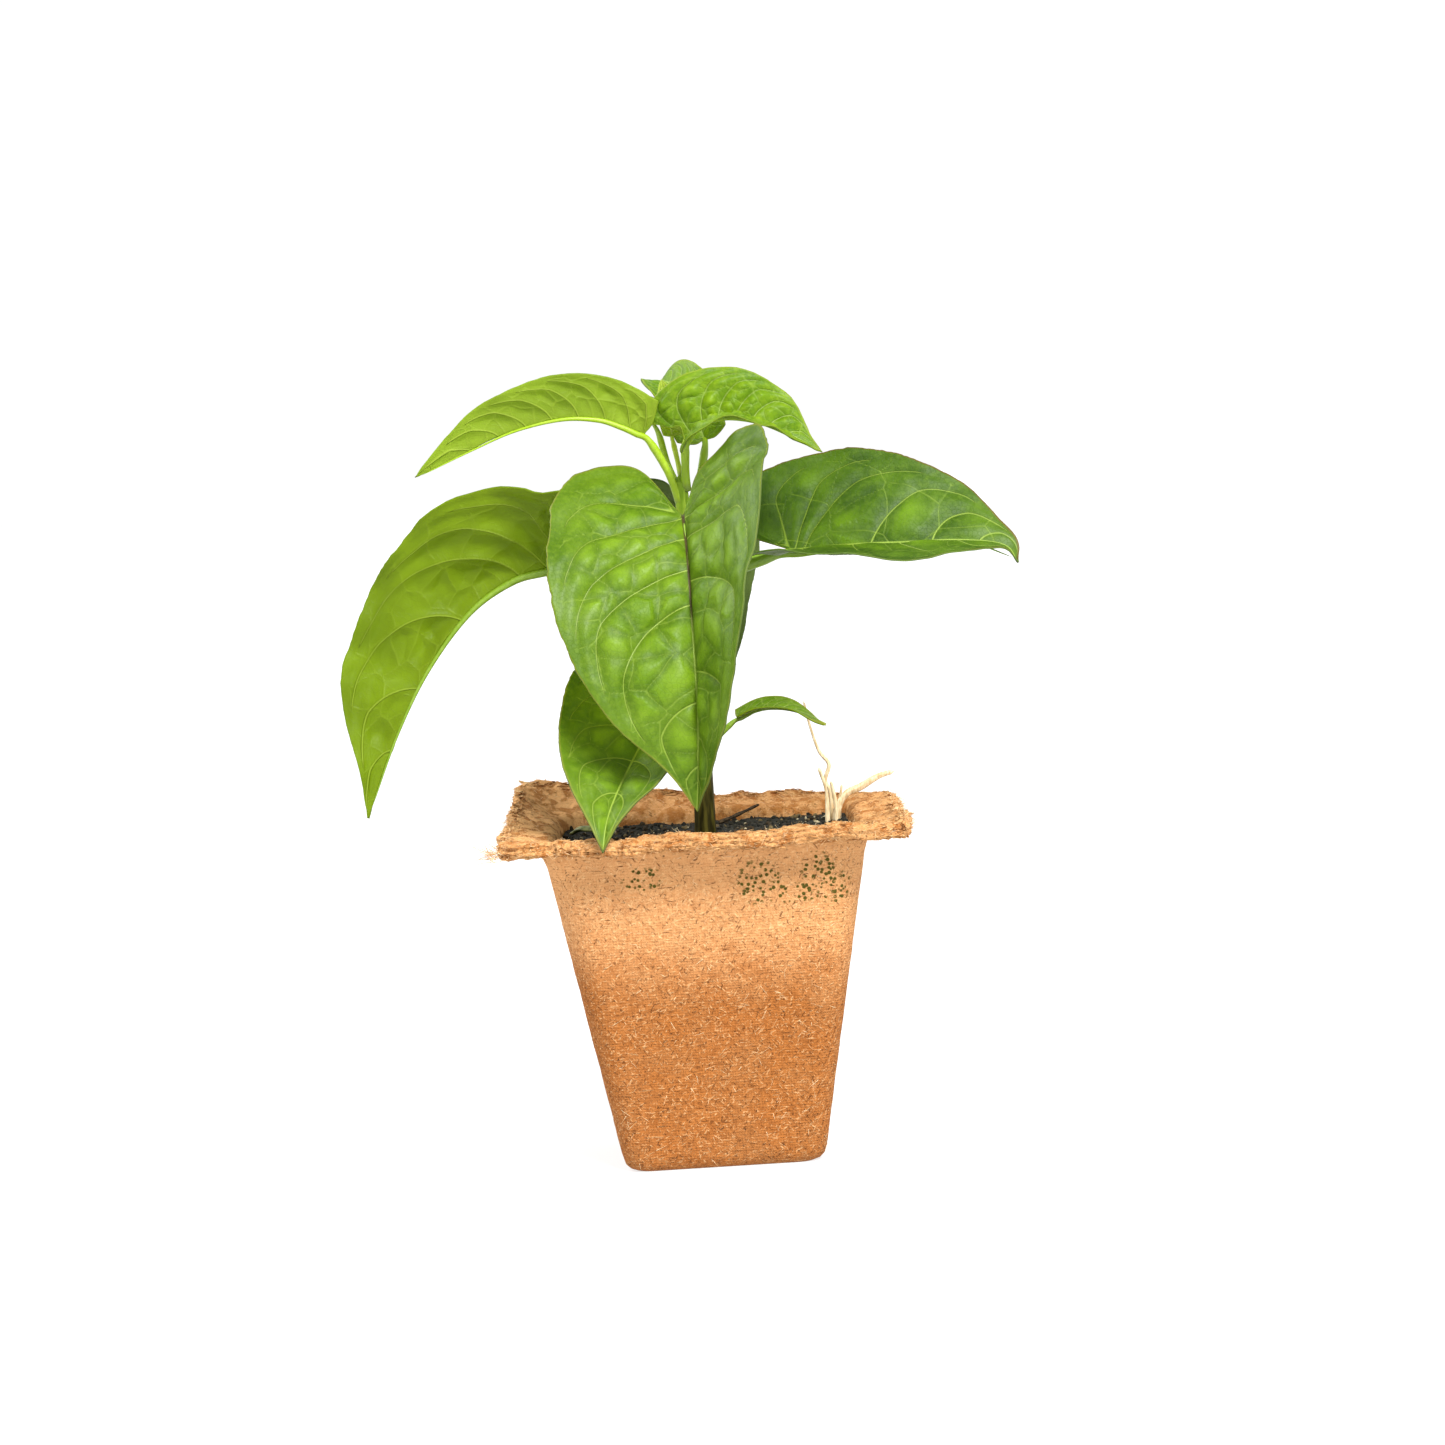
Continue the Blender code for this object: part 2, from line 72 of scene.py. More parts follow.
def makeCamera():
    data = bpy.data.cameras.new("camera")
    data.lens = studio["lens"]
    camera = bpy.data.objects.new("camera", data)
    turn = Matrix.Rotation(math.radians(90 - studio["lookDown"]), 4, "X")
    roll = Matrix.Rotation(math.radians(-studio["tilt"]), 4, "Z")
    camera.matrix_world = Matrix.Translation(studio["cameraPlace"]) @ turn @ roll
    bpy.context.scene.collection.objects.link(camera)
    bpy.context.scene.camera = camera


def makeFloor():
    bm = bmesh.new()
    bmesh.ops.create_grid(bm, x_segments=8, y_segments=8, size=60.0)
    floor = newObject("studioFloor", bm)
    finish = Finish("floorPaper", studio["floor"], 0.9)
    finish.set("Specular IOR Level", 0.0)
    finish.set("Emission Color", (1.0, 1.0, 1.0))
    finish.set("Emission Strength", studio["floorGlow"])
    floor.data.materials.append(finish.material)


def makeLamp(name, kind, place, watts, **settings):
    data = bpy.data.lights.new(name, kind)
    data.energy = watts
    for key, value in settings.items():
        setattr(data, key, value)
    lamp = bpy.data.objects.new(name, data)
    lamp.location = place
    aim = Vector((0, 0, 0.12)) - Vector(place)
    lamp.rotation_euler = aim.to_track_quat("-Z", "Y").to_euler()
    bpy.context.scene.collection.objects.link(lamp)


def makeLights():
    world = bpy.data.worlds.new("studioSky")
    world.use_nodes = True
    sky = Nodes(world.node_tree)
    height = abs(sky.add("SeparateXYZ", None, {"Vector": sky.add("TexCoord", out="Generated")}, "Z"))
    (low, high), (start, slope) = studio["sky"], studio["skyFade"]
    strength = low + ((height - start).highest(0.0) * slope).lowest(1.0) * (high - low)
    light = sky.tree.nodes["Background"].inputs
    plug(sky.tree, light["Color"], (1.0, 1.0, 1.0))
    plug(sky.tree, light["Strength"], strength)
    bpy.context.scene.world = world
    bpy.context.scene.view_settings.view_transform = "Standard"
    spread = math.radians(studio["keySpread"])
    makeLamp("keyLight", "SUN", studio["keyFrom"], studio["keyStrength"], angle=spread)
    makeLamp("rimLight", "AREA", studio["rimPlace"], studio["rimWatts"], size=0.5)


# helpers for materials


class Wire:
    # a value in a material: Python operators on it add Math nodes

    def __init__(self, socket):
        self.socket = socket
        self.tree = socket.id_data

    def calc(self, operation, *values):
        node = self.tree.nodes.new("ShaderNodeMath")
        node.operation = operation
        for place, value in zip(node.inputs, values):
            plug(self.tree, place, value)
        return Wire(node.outputs[0])

    def __add__(self, other):
        return self.calc("ADD", self, other)

    def __radd__(self, other):
        return self.calc("ADD", other, self)

    def __sub__(self, other):
        return self.calc("SUBTRACT", self, other)

    def __rsub__(self, other):
        return self.calc("SUBTRACT", other, self)

    def __mul__(self, other):
        return self.calc("MULTIPLY", self, other)

    def __rmul__(self, other):
        return self.calc("MULTIPLY", other, self)

    def __truediv__(self, other):
        return self.calc("DIVIDE", self, other)

    def __abs__(self):
        return self.calc("ABSOLUTE", self)

    def near(self):
        return self.calc("ROUND", self)

    def wave(self):
        return self.calc("SINE", self)

    def lowest(self, other):
        return self.calc("MINIMUM", self, other)

    def highest(self, other):
        return self.calc("MAXIMUM", self, other)


def plug(tree, place, value):
    if isinstance(value, Wire):
        tree.links.new(value.socket, place)
    elif isinstance(value, tuple) and len(value) == 3 and place.type == "RGBA":
        place.default_value = (*value, 1.0)
    else:
        place.default_value = value


class Nodes:
    # a node tree and what adds nodes to it

    def __init__(self, tree):
        self.tree = tree

    def add(self, kind, settings=None, sockets=None, out=0):
        node = self.tree.nodes.new("ShaderNode" + kind)
        for key, value in (settings or {}).items():
            if key == "stops":
                ramp = node.color_ramp.elements
                while len(ramp) < len(value):
                    ramp.new(1.0)
                for stop, (place, colour) in zip(ramp, value):
                    stop.position = place
                    stop.color = (*colour, 1.0)
            else:
                setattr(node, key, value)
        for key, value in (sockets or {}).items():
            plug(self.tree, node.inputs[key], value)
        return Wire(node.outputs[out])

    def spot(self):
        return self.add("TexCoord", out="Object")

    def turned(self, turn=(0.0, 0.0, 0.0), scale=(1.0, 1.0, 1.0)):
        return self.add("Mapping", None, {"Vector": self.spot(), "Scale": scale, "Rotation": turn})

    def cloud(self, size, detail=2.0, vector=None, rough=0.5):
        # noise from 0 to 1, with lumps of this size in metres
        sockets = {"Vector": vector or self.spot(), "Scale": 1 / size, "Detail": detail, "Roughness": rough}
        return self.add("TexNoise", None, sockets, "Fac")

    def cells(self, size, feature="F1", vector=None, out="Distance", settings=None, **sockets):
        sockets.update({"Vector": vector or self.spot(), "Scale": 1 / size})
        return self.add("TexVoronoi", {"feature": feature, **(settings or {})}, sockets, out)

    def smooth(self, value, low, high, start=0.0, end=1.0):
        sockets = {"Value": value, "From Min": low, "From Max": high, "To Min": start, "To Max": end}
        return self.add("MapRange", {"interpolation_type": "SMOOTHSTEP"}, sockets)

    def blend(self, share, one, other, how="MIX"):
        # from one colour to the other
        return self.add("Mix", {"data_type": "RGBA", "blend_type": how}, {0: share, 6: one, 7: other}, 2)

    def fade(self, value, low, high, one, other):
        return self.blend(self.smooth(value, low, high), one, other)

    def bump(self, height, depth, under=None):
        # height from 0 to 1, and what depth in metres that stands for
        sockets = {"Height": height, "Distance": depth, "Strength": 1.0}
        if under:
            sockets["Normal"] = under
        return self.add("Bump", None, sockets)

    def split(self, vector):
        return [self.add("SeparateXYZ", None, {"Vector": vector}, k) for k in range(3)]

    def kept(self, name):
        return self.add("Attribute", {"attribute_name": name}, out="Fac")


class Finish(Nodes):
    # a material

    def __init__(self, name, colour=(0.5, 0.5, 0.5), roughness=0.6):
        self.material = bpy.data.materials.new(name)
        self.material.use_nodes = True
        super().__init__(self.material.node_tree)
        self.shader = self.tree.nodes["Principled BSDF"]
        self.set("Base Color", colour)
        self.set("Roughness", roughness)

    def set(self, name, value):
        plug(self.tree, self.shader.inputs[name], value)


# helpers for shapes


def newMesh(name, bm):
    mesh = bpy.data.meshes.new(name)
    bm.to_mesh(mesh)
    bm.free()
    return mesh


def newObject(name, bm):
    mesh = newMesh(name, bm)
    mesh.shade_smooth()
    made = bpy.data.objects.new(name, mesh)
    bpy.context.scene.collection.objects.link(made)
    return made


def coordsOf(mesh):
    found = np.empty(len(mesh.vertices) * 3)
    mesh.vertices.foreach_get("co", found)
    return found.reshape(-1, 3)


def setCoords(mesh, coords):
    mesh.vertices.foreach_set("co", np.ascontiguousarray(coords, np.float32).ravel())
    mesh.update()


def keep(mesh, name, values, kind="FLOAT", where="POINT"):
    # a value or a vector for each point or corner, for the materials to read
    kept = mesh.attributes.new(name, kind, where)
    kept.data.foreach_set("value" if kind == "FLOAT" else "vector", np.asarray(values, np.float32).ravel())


def copies(name, pattern, count):
    # one mesh of many small ones, with an array of their points and the points of one
    shape = coordsOf(pattern)
    bm = bmesh.new()
    for _ in range(count):
        bm.from_mesh(pattern)
    made = newObject(name, bm)
    bpy.data.meshes.remove(pattern)
    return made, coordsOf(made.data).reshape(count, -1, 3), shape


def settle(piece, slot, node, *finishes):
    # its materials, hiding the part that the piece stands for, and that it rides with the one body
    for finish in finishes:
        piece.data.materials.append(finish)
    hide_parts(node)
    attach(piece, "root")


def nameOf(node):
    first, *others = node.split("_")
    return first + "".join(word.title() for word in others)


def smoothCurve(points, t):
    # points on the smooth curve through these points, t from 0 to 1
    points = np.asarray(points, float)
    if points.ndim == 1:
        points = points[:, None]
    last = len(points) - 1
    place = np.clip(t, 0, 1) * last
    i = np.minimum(place.astype(int), last - 1)
    f = (place - i)[..., None]
    ends = np.vstack([2 * points[0] - points[1], points, 2 * points[-1] - points[-2]])
    p0, p1, p2, p3 = (ends[i + k] for k in range(4))
    square, cube = 2 * p0 - 5 * p1 + 4 * p2 - p3, 3 * p1 - p0 - 3 * p2 + p3
    return 0.5 * (2 * p1 + (p2 - p0) * f + square * f**2 + cube * f**3)


def unit(vectors):
    return vectors / np.linalg.norm(vectors, axis=-1, keepdims=True)


class Route:
    # a smooth curve that is read by length

    def __init__(self, points):
        self.at = smoothCurve(points, np.linspace(0, 1, 121))
        self.run = np.concatenate([[0], np.cumsum(np.linalg.norm(np.diff(self.at, axis=0), axis=1))])
        self.length = self.run[-1]

    def inside(self, s):
        return np.stack([np.interp(s, self.run, self.at[:, k]) for k in range(3)], -1)

    def tangent(self, s):
        step = self.length / 25
        middle = np.clip(s, step, self.length - step)
        return unit(self.inside(middle + step) - self.inside(middle - step))

    def point(self, s):
        held = np.clip(s, 0, self.length)
        return self.inside(held) + self.tangent(held) * (s - held)[..., None]


def fromSoil(points):
    # points given in mm from the stem's foot
    return np.asarray(points, float) * mm + (0, 0, soilTop)


def lumps(points, size, seed=0.0):
    # smooth noise from about -1 to 1, with lumps of about this size
    shift = Vector((seed * 3.1, seed * 1.7, seed))
    return np.array([noise.noise(Vector(p) / size + shift) for p in points])


def tubeRings(around, steps):
    # an upright tube with closed ends, to be bent into shape, and its angles and heights
    bm = bmesh.new()
    bmesh.ops.create_cone(bm, cap_ends=True, segments=around, radius1=1, radius2=1, depth=1)
    upright = [e for e in bm.edges if abs(e.verts[0].co.z - e.verts[1].co.z) > 0.5]
    bmesh.ops.subdivide_edges(bm, edges=upright, cuts=steps - 1, use_grid_fill=True)
    return bm


def makeTube(name, route, radius, around=14, steps=60, hint=(0, 1, 0)):
    # radius gives the thickness in metres from the share of the length and the angle
    made = newObject(name, tubeRings(around, steps))
    coords = coordsOf(made.data)
    share = np.clip(coords[:, 2] + 0.5, 0, 1)
    angle = np.arctan2(coords[:, 1], coords[:, 0])
    s = share * route.length
    along = route.tangent(s)
    side = unit(np.cross(along, np.asarray(hint, float)))
    other = np.cross(along, side)
    thick = radius(share, angle)[:, None]
    ring = side * np.cos(angle)[:, None] + other * np.sin(angle)[:, None]
    setCoords(made.data, route.point(s) + ring * thick)
    keep(made.data, "along", s / mm)
    return made


# leaves

# unit outlines of half a blade, from the stalk round to the tip: share of the half width, and
# share of the lobe's depth if negative, or else of the length
grown = [(0, 0), (0.32, -0.94), (0.75, -0.76), (0.98, 0.10), (0.98, 0.34), (0.84, 0.55)]
grown += [(0.59, 0.73), (0.22, 0.88), (0, 1)]
broadLobed = [(0, 0), (0.20, -0.75), (0.64, -1.0), (0.98, -0.50)] + grown[4:]
squareBased = [(0, 0), (0.35, 0.02), (0.72, -0.45), (0.97, -0.60), (0.99, 0.16)] + grown[5:]
young = [(0, 0), (0.30, -0.45), (0.70, -0.15), (0.95, 0.18), (0.99, 0.38), (0.85, 0.60)]
young += [(0.55, 0.80), (0.20, 0.94), (0, 1)]

# where side veins leave the midrib and where they would reach the edge, as shares of its length
evenVeins = [(0, -0.10), (0.02, 0.20), (0.15, 0.42), (0.33, 0.60), (0.52, 0.76), (0.72, 0.89)]
closeVeins = [(0, 0.02), (0.06, 0.20), (0.17, 0.34), (0.28, 0.46), (0.39, 0.57)]
closeVeins += [(0.5, 0.68), (0.62, 0.78), (0.75, 0.88)]

greens = {
    "deep": {
        "dark": (0.056, 0.125, 0.002), "light": (0.160, 0.300, 0.006), "top": (0.175, 0.290, 0.020),
        "valley": (0.018, 0.055, 0.001), "vein": (0.330, 0.470, 0.070), "margin": (0.175, 0.088, 0.020),
        "under": (0.150, 0.237, 0.040), "glow": (0.150, 0.350, 0.005), "underGlow": (0.150, 0.312, 0.010),
        "gloss": 0.15,
    },
    "mid": {
        "dark": (0.120, 0.235, 0.003), "light": (0.205, 0.355, 0.010), "top": (0.230, 0.360, 0.020),
        "valley": (0.022, 0.062, 0.001), "vein": (0.330, 0.470, 0.060), "margin": (0.241, 0.261, 0.030),
        "under": (0.131, 0.191, 0.040), "glow": (0.220, 0.421, 0.005), "underGlow": (0.201, 0.341, 0.010),
        "gloss": 0.17,
    },
    "warm": {
        "dark": (0.093, 0.186, 0.002), "light": (0.153, 0.266, 0.007), "top": (0.213, 0.332, 0.020),
        "valley": (0.053, 0.123, 0.001), "vein": (0.319, 0.439, 0.070), "margin": (0.266, 0.266, 0.030),
        "under": (0.180, 0.273, 0.003), "glow": (0.346, 0.559, 0.002), "underGlow": (0.479, 0.638, 0.002),
        "gloss": 0.10,
    },
    "lime": {
        "dark": (0.156, 0.278, 0.002), "light": (0.280, 0.430, 0.002), "top": (0.312, 0.448, 0.020),
        "valley": (0.102, 0.204, 0.001), "vein": (0.448, 0.570, 0.090), "margin": (0.353, 0.407, 0.030),
        "under": (0.258, 0.367, 0.020), "glow": (0.516, 0.788, 0.004), "underGlow": (0.516, 0.747, 0.010),
        "gloss": 0.08,
    },
    "spring": {
        "dark": (0.120, 0.240, 0.002), "light": (0.270, 0.430, 0.004), "top": (0.350, 0.500, 0.020),
        "valley": (0.040, 0.115, 0.001), "vein": (0.311, 0.447, 0.070), "margin": (0.273, 0.336, 0.030),
        "under": (0.236, 0.336, 0.020), "glow": (0.348, 0.596, 0.004), "underGlow": (0.422, 0.621, 0.010),
        "gloss": 0.12,
    },
    "bright": {
        "dark": (0.276, 0.414, 0.005), "light": (0.380, 0.506, 0.010), "top": (0.460, 0.575, 0.040),
        "valley": (0.196, 0.322, 0.003), "vein": (0.517, 0.598, 0.140), "margin": (0.414, 0.506, 0.060),
        "under": (0.380, 0.494, 0.040), "glow": (0.632, 0.862, 0.010), "underGlow": (0.632, 0.828, 0.030),
        "gloss": 0.1,
    },
}

# stalk and midrib are points in mm from the stem's foot, and up is where the face looks at the
# base and at the tip. left and right hold an outline, the half width and the lobe in mm, and how
# far the half folds up at the base, the middle and the tip, in degrees
leaves = {
    "leaf_front": {
        "stalk": [(0, 0, 62), (0, -10, 70), (-0.4, -21.5, 79.3)],
        "midrib": [
            (-0.4, -24, 80), (0.2, -35, 69), (0.4, 4.5 - rim, 50),
            (0.4, 0.5 - rim, 36), (-0.2, -0.5 - rim, 22), (-1.2, 0.5 - rim, 10),
        ],
        "up": ((-0.40, -0.85, 0.4), (-0.55, -0.85, 0.0)),
        "left": (broadLobed, 29.5, 14.5, (10, 28, 34)),
        "right": (grown, 34, 19, (28, 28, 28)),
        "leftVeins": [
            (0, -0.15), (0.012, 0.02), (0.11, 0.20), (0.27, 0.50),
            (0.57, 0.70), (0.77, 0.86), (0.9, 0.95),
        ],
        "rightVeins": [
            (0, -0.12), (0.008, 0.20), (0.107, 0.42), (0.23, 0.56),
            (0.35, 0.78), (0.665, 0.86), (0.86, 0.94),
        ],
        "stalkRadius": 1.2,  # mm
        "mesh": (250, 140),  # rows and columns
        "pads": 8.0,  # mm across
        "puff": 1.35,  # mm that they stand up
        "green": "mid",
        "darkRib": 0.43,  # share of the midrib that is brown
        "dimLeft": 0.2,  # how much painted shade deepens the left half's green
    },
    "leaf_left": {
        "stalk": [(0, 0, 57), (-12, 0, 65), (-24, 0, 69)],
        "midrib": [
            (-27, 0, 70.5), (-47, 0, 65.5), (-61, 0, 53.5),
            (-70.8, 0, 38.6), (-78.2, 0, 24), (-84, 0, 9.5),
        ],
        "up": ((0, 0.45, 0.9), (-0.7, 0.7, 0.1)),
        "left": (grown, 26, 8, (12, 42, 30)),
        "right": (grown, 25, 8, (40, 50, 42)),
        "leftVeins": [
            (0, -0.03), (0.03, 0.15), (0.09, 0.36), (0.17, 0.55),
            (0.38, 0.70), (0.61, 0.83), (0.8, 0.93),
        ],
        "rightVeins": [
            (0, -0.03), (0.03, 0.15), (0.09, 0.34), (0.19, 0.50),
            (0.36, 0.68), (0.60, 0.82), (0.8, 0.93),
        ],
        "stalkRadius": 1.3,
        "mesh": (220, 120),
        "pads": 7.0,
        "puff": 1.6,
        "wave": 3.2,  # how much the edge waves up and down
        "wobble": 0.10,  # and in and out
        "green": "warm",
    },
    "leaf_right": {
        "stalk": [(0, 0, 53), (10, 3, 64.5), (22, 5, 68.7)],
        "midrib": [
            (26, 5, 69.5), (41, 3, 70), (54, 1, 69.8),
            (68, 0, 69.5), (78.5, -1, 67.6), (81.8, -1, 63),
        ],
        "up": ((0, -0.5, 0.87), (0.3, -0.5, 0.8)),
        "left": (grown, 28, 17, (20, 22, 20)),
        "right": (grown, 26, 17, (24, 14, 20)),
        "leftVeins": [(0, -0.12), (0.01, 0.22), (0.05, 0.50), (0.34, 0.74), (0.6, 0.88), (0.8, 0.95)],
        "rightVeins": [(0, -0.10), (0.04, 0.25), (0.26, 0.5), (0.46, 0.72), (0.7, 0.88)],
        "stalkRadius": 1.3,
        "mesh": (220, 120),
        "pads": 13,
        "puff": 0.9,
        "green": "deep",
        # painted shade: a deeper green near the base of the blade
        "paintedLightBase": 0.8,
    },
    "leaf_back": {
        "stalk": [(0, 0, 47), (0, 13, 65), (0, 26, 77)],
        "midrib": [(0, 29, 79), (-2, 39, 70), (-3, 46, 52), (0, 47, 36), (6, 43, 25)],
        "up": ((0, 0.8, 0.6), (0.1, 1.0, 0.1)),
        "left": (grown, 20, 12, (10, 10, 10)),
        "right": (grown, 22, 14, (12, 18, 14)),
        "veins": evenVeins,
        "stalkRadius": 1.2,
        "mesh": (180, 100),
        "pads": 7,
        "puff": 0.8,
        "green": "mid",
    },
    "leaf_low_left": {
        "stalk": [(0, 0, 30), (-1.5, -3, 36), (-3, -6, 39.5)],
        "midrib": [
            (-4, -8, 40), (-10, 29.5 - rim, 31.5), (-16.5, 16.5 - rim, 21.5),
            (-20.8, 5.5 - rim, 14), (-23, -0.5 - rim, 8.4), (-24.2, -4 - rim, 2),
        ],
        "up": ((-0.1, -0.6, 0.8), (-0.1, -0.75, 0.6)),
        "left": (grown, 18, 1, (14, 16, 18)),
        "right": (grown, 23, 8, (20, 20, 20)),
        "veins": evenVeins,
        "stalkRadius": 0.9,
        "mesh": (180, 100),
        "pads": 7,
        "puff": 0.9,
        "green": "mid",
        "paintedLightBase": 1.0,
        "paintedLightReach": (24.0, 44.0),  # mm from the base over which the painted light fades
        "dimTo": (1.75, 1.65, 0.7),  # painted light: brighter here, where the front leaf casts its shadow
    },
    "leaf_low_right": {
        "stalk": [(0, 0, 19), (4, 0, 23.5), (9, 0, 28)],
        "midrib": [(10, 0, 28.8), (15, 0, 30.6), (20.5, 0, 30.6), (26, 0, 29), (31.8, 0, 25.8)],
        "up": ((0, -0.1, 1), (0.3, -0.1, 1)),
        "left": (young, 5.5, 1, (8, 8, 8)),
        "right": (young, 5.5, 1, (4, 4, 4)),
        "veins": closeVeins,
        "stalkRadius": 0.6,
        "mesh": (90, 40),
        "pads": 2.6,
        "puff": 0.5,
        "wobble": 0.14,
        "wave": 2.0,
        "green": "warm",
    },
    "leaf_top_left": {
        "stalk": [(-0.5, 0, 82), (-4.0, -1.5, 92), (-8.0, -3, 99.3)],
        "midrib": [
            (-9, -3.3, 100.6), (-19, -5, 105), (-30, -6, 105.8),
            (-44.5, -6, 102.6), (-55, -6, 98), (-66, -6, 93.5),
        ],
        "up": ((-0.2, 0.4, 0.9), (-0.3, 0.5, 0.8)),
        "left": (young, 11, 2, (40, 40, 40)),
        "right": (young, 11, 2, (34, 38, 38)),
        "veins": closeVeins,
        "stalkRadius": 0.9,
        "mesh": (160, 70),
        "pads": 4.6,
        "puff": 1.1,
        "green": "lime",
    },
    "leaf_top_right": {
        "stalk": [(0.5, 0, 86), (0.8, -2.5, 92), (1.2, -5, 97)],
        "midrib": [
            (1.4, -6, 98.6), (5, -8, 102.4), (12, -9, 103.6),
            (21, -9, 101.4), (28, -9, 97.6), (34.7, -9, 93.4),
        ],
        "up": ((-0.1, -0.4, 0.9), (0.3, -0.45, 0.8)),
        "left": (squareBased, 13, 5, (62, 36, 28)),
        "right": (young, 11, 4, (0, 18, 20)),
        "veins": closeVeins,
        "stalkRadius": 0.9,
        "mesh": (160, 80),
        "pads": 3.8,
        "puff": 2.3,
        "calmBase": 7.0,  # mm from the base before the pads rise
        "wave": 1.8,
        "wobble": 0.05,
        "green": "spring",
    },
    "leaf_young_upright": {
        "stalk": [(-0.4, 0.8, 88.5), (-1.2, 3.2, 94), (-2, 4.6, 98.5)],
        "midrib": [(-2.1, 5, 100), (-2.6, 5.4, 104), (-3.3, 5.8, 109), (-3.9, 6.2, 114)],
        "up": ((0.2, -1, 0.2), (0.2, -1, 0.1)),
        "left": (young, 4.2, 0.6, (35, 35, 35)),
        "right": (young, 4.2, 0.6, (30, 30, 30)),
        "veins": closeVeins,
        "stalkRadius": 0.6,
        "mesh": (80, 36),
        "pads": 2.4,
        "puff": 0.3,
        "green": "bright",
    },
    "leaf_top_back": {
        "stalk": [(0.5, 0, 78), (4.5, 4, 90), (6, 8, 97)],
        "midrib": [(6, 9.5, 98.5), (4, 13, 105), (0, 18, 111), (-3.5, 25, 114), (-7, 34, 112)],
        "up": ((-0.2, -0.8, 0.5), (-0.1, -0.1, 1)),
        "left": (young, 9, 2, (20, 20, 20)),
        "right": (young, 9, 2, (26, 26, 26)),
        "veins": closeVeins,
        "stalkRadius": 0.9,
        "mesh": (110, 60),
        "pads": 3.6,
        "puff": 1.0,
        "green": "spring",
    },
    "leaf_top_small": {
        "stalk": [(-0.5, 0.5, 85), (-3.6, 4.2, 93), (-5.5, 7.5, 101)],
        "midrib": [(-6, 9, 103.5), (-10, 11.5, 107), (-15, 14, 108), (-21, 16, 106)],
        "up": ((0, 0.2, 1), (-0.4, 0.2, 0.9)),
        "left": (young, 6.5, 1, (24, 24, 24)),
        "right": (young, 6.5, 1, (28, 28, 28)),
        "veins": closeVeins,
        "stalkRadius": 0.7,
        "mesh": (90, 44),
        "pads": 3.0,
        "puff": 0.4,
        "green": "lime",
    },
}

blade = {
    "thickness": 0.34 * mm,
    "curl": 8,  # degrees that an edge turns up beyond its fold
    "rowPower": 1.7,  # rows crowd towards the stalk
    "columnPower": 1.15,  # columns crowd towards the midrib
    "edgeWave": 0.55,  # mm
    "edgeNotch": 0.010,  # of the half width
    "ribGroove": 0.16,  # mm
    "veinWidth": 0.25,  # half of it, in mm
    "glow": 0.28,  # share of the light that comes through
}


def veinBow(share):
    # how far a side vein has gone from its start to its end, out from the midrib
    return 0.3 * share + 0.7 * share**2


def veinPlace(veins, length, width, s, share):
    # each spot's place in the row of side veins, a whole number on a vein, and mm from one to the next
    starts, ends = (np.array(v) * length for v in zip(*veins))
    starts = np.concatenate([[starts[0] - 0.02 * length], starts, [length]])
    ends = np.concatenate([[ends[0] - 0.35 * length], ends, [1.03 * length]])
    bow = veinBow(share)[:, None]
    rows = starts * (1 - bow) + ends * bow
    k = np.clip((s[:, None] >= rows).sum(1) - 1, 0, len(starts) - 2)
    every = np.arange(len(s))
    gap = rows[every, k + 1] - rows[every, k]
    part = np.clip((s - rows[every, k]) / gap, 0, 1)
    reach = (ends - starts)[k] * (1 - part) + (ends - starts)[k + 1] * part
    half = np.maximum(width, 2 * mm)
    slope = reach * (0.3 + 1.4 * share) / half
    # near the edge a vein bends along it, towards the tip
    late = np.maximum(0, share - 0.66) / 0.28
    bend, bendSlope = 0.85 * late**2, 1.7 * late / 0.28
    across = slope / gap + bendSlope / half
    return k + part - bend, 1 / np.sqrt(1 / gap**2 + across**2) / mm


def padEdges(across, s, size, seed):
    # mm to the nearest vein of the net, whose meshes are about this size
    draw = np.random.RandomState(int(seed * 10))
    jitter = (draw.rand(97, 97, 2) - 0.5) * 0.8
    at = np.stack([across, s], -1) / (size * mm)
    i, j = np.floor(at).astype(int).T
    seen = []
    for di in (-1, 0, 1):
        for dj in (-1, 0, 1):
            middle = np.stack([i + di + 0.5, j + dj + 0.5], -1) + jitter[(i + di) % 97, (j + dj) % 97]
            seen.append((middle - at) * size)
    seen = np.array(seen)
    reach = (seen**2).sum(-1)
    order = np.argsort(reach, axis=0)[:2]
    every = np.arange(len(at))
    first, second = seen[order[0], every], seen[order[1], every]
    apart = np.linalg.norm(first - second, axis=1)
    return (reach[order[1], every] - reach[order[0], every]) / (2 * apart + 1e-6)


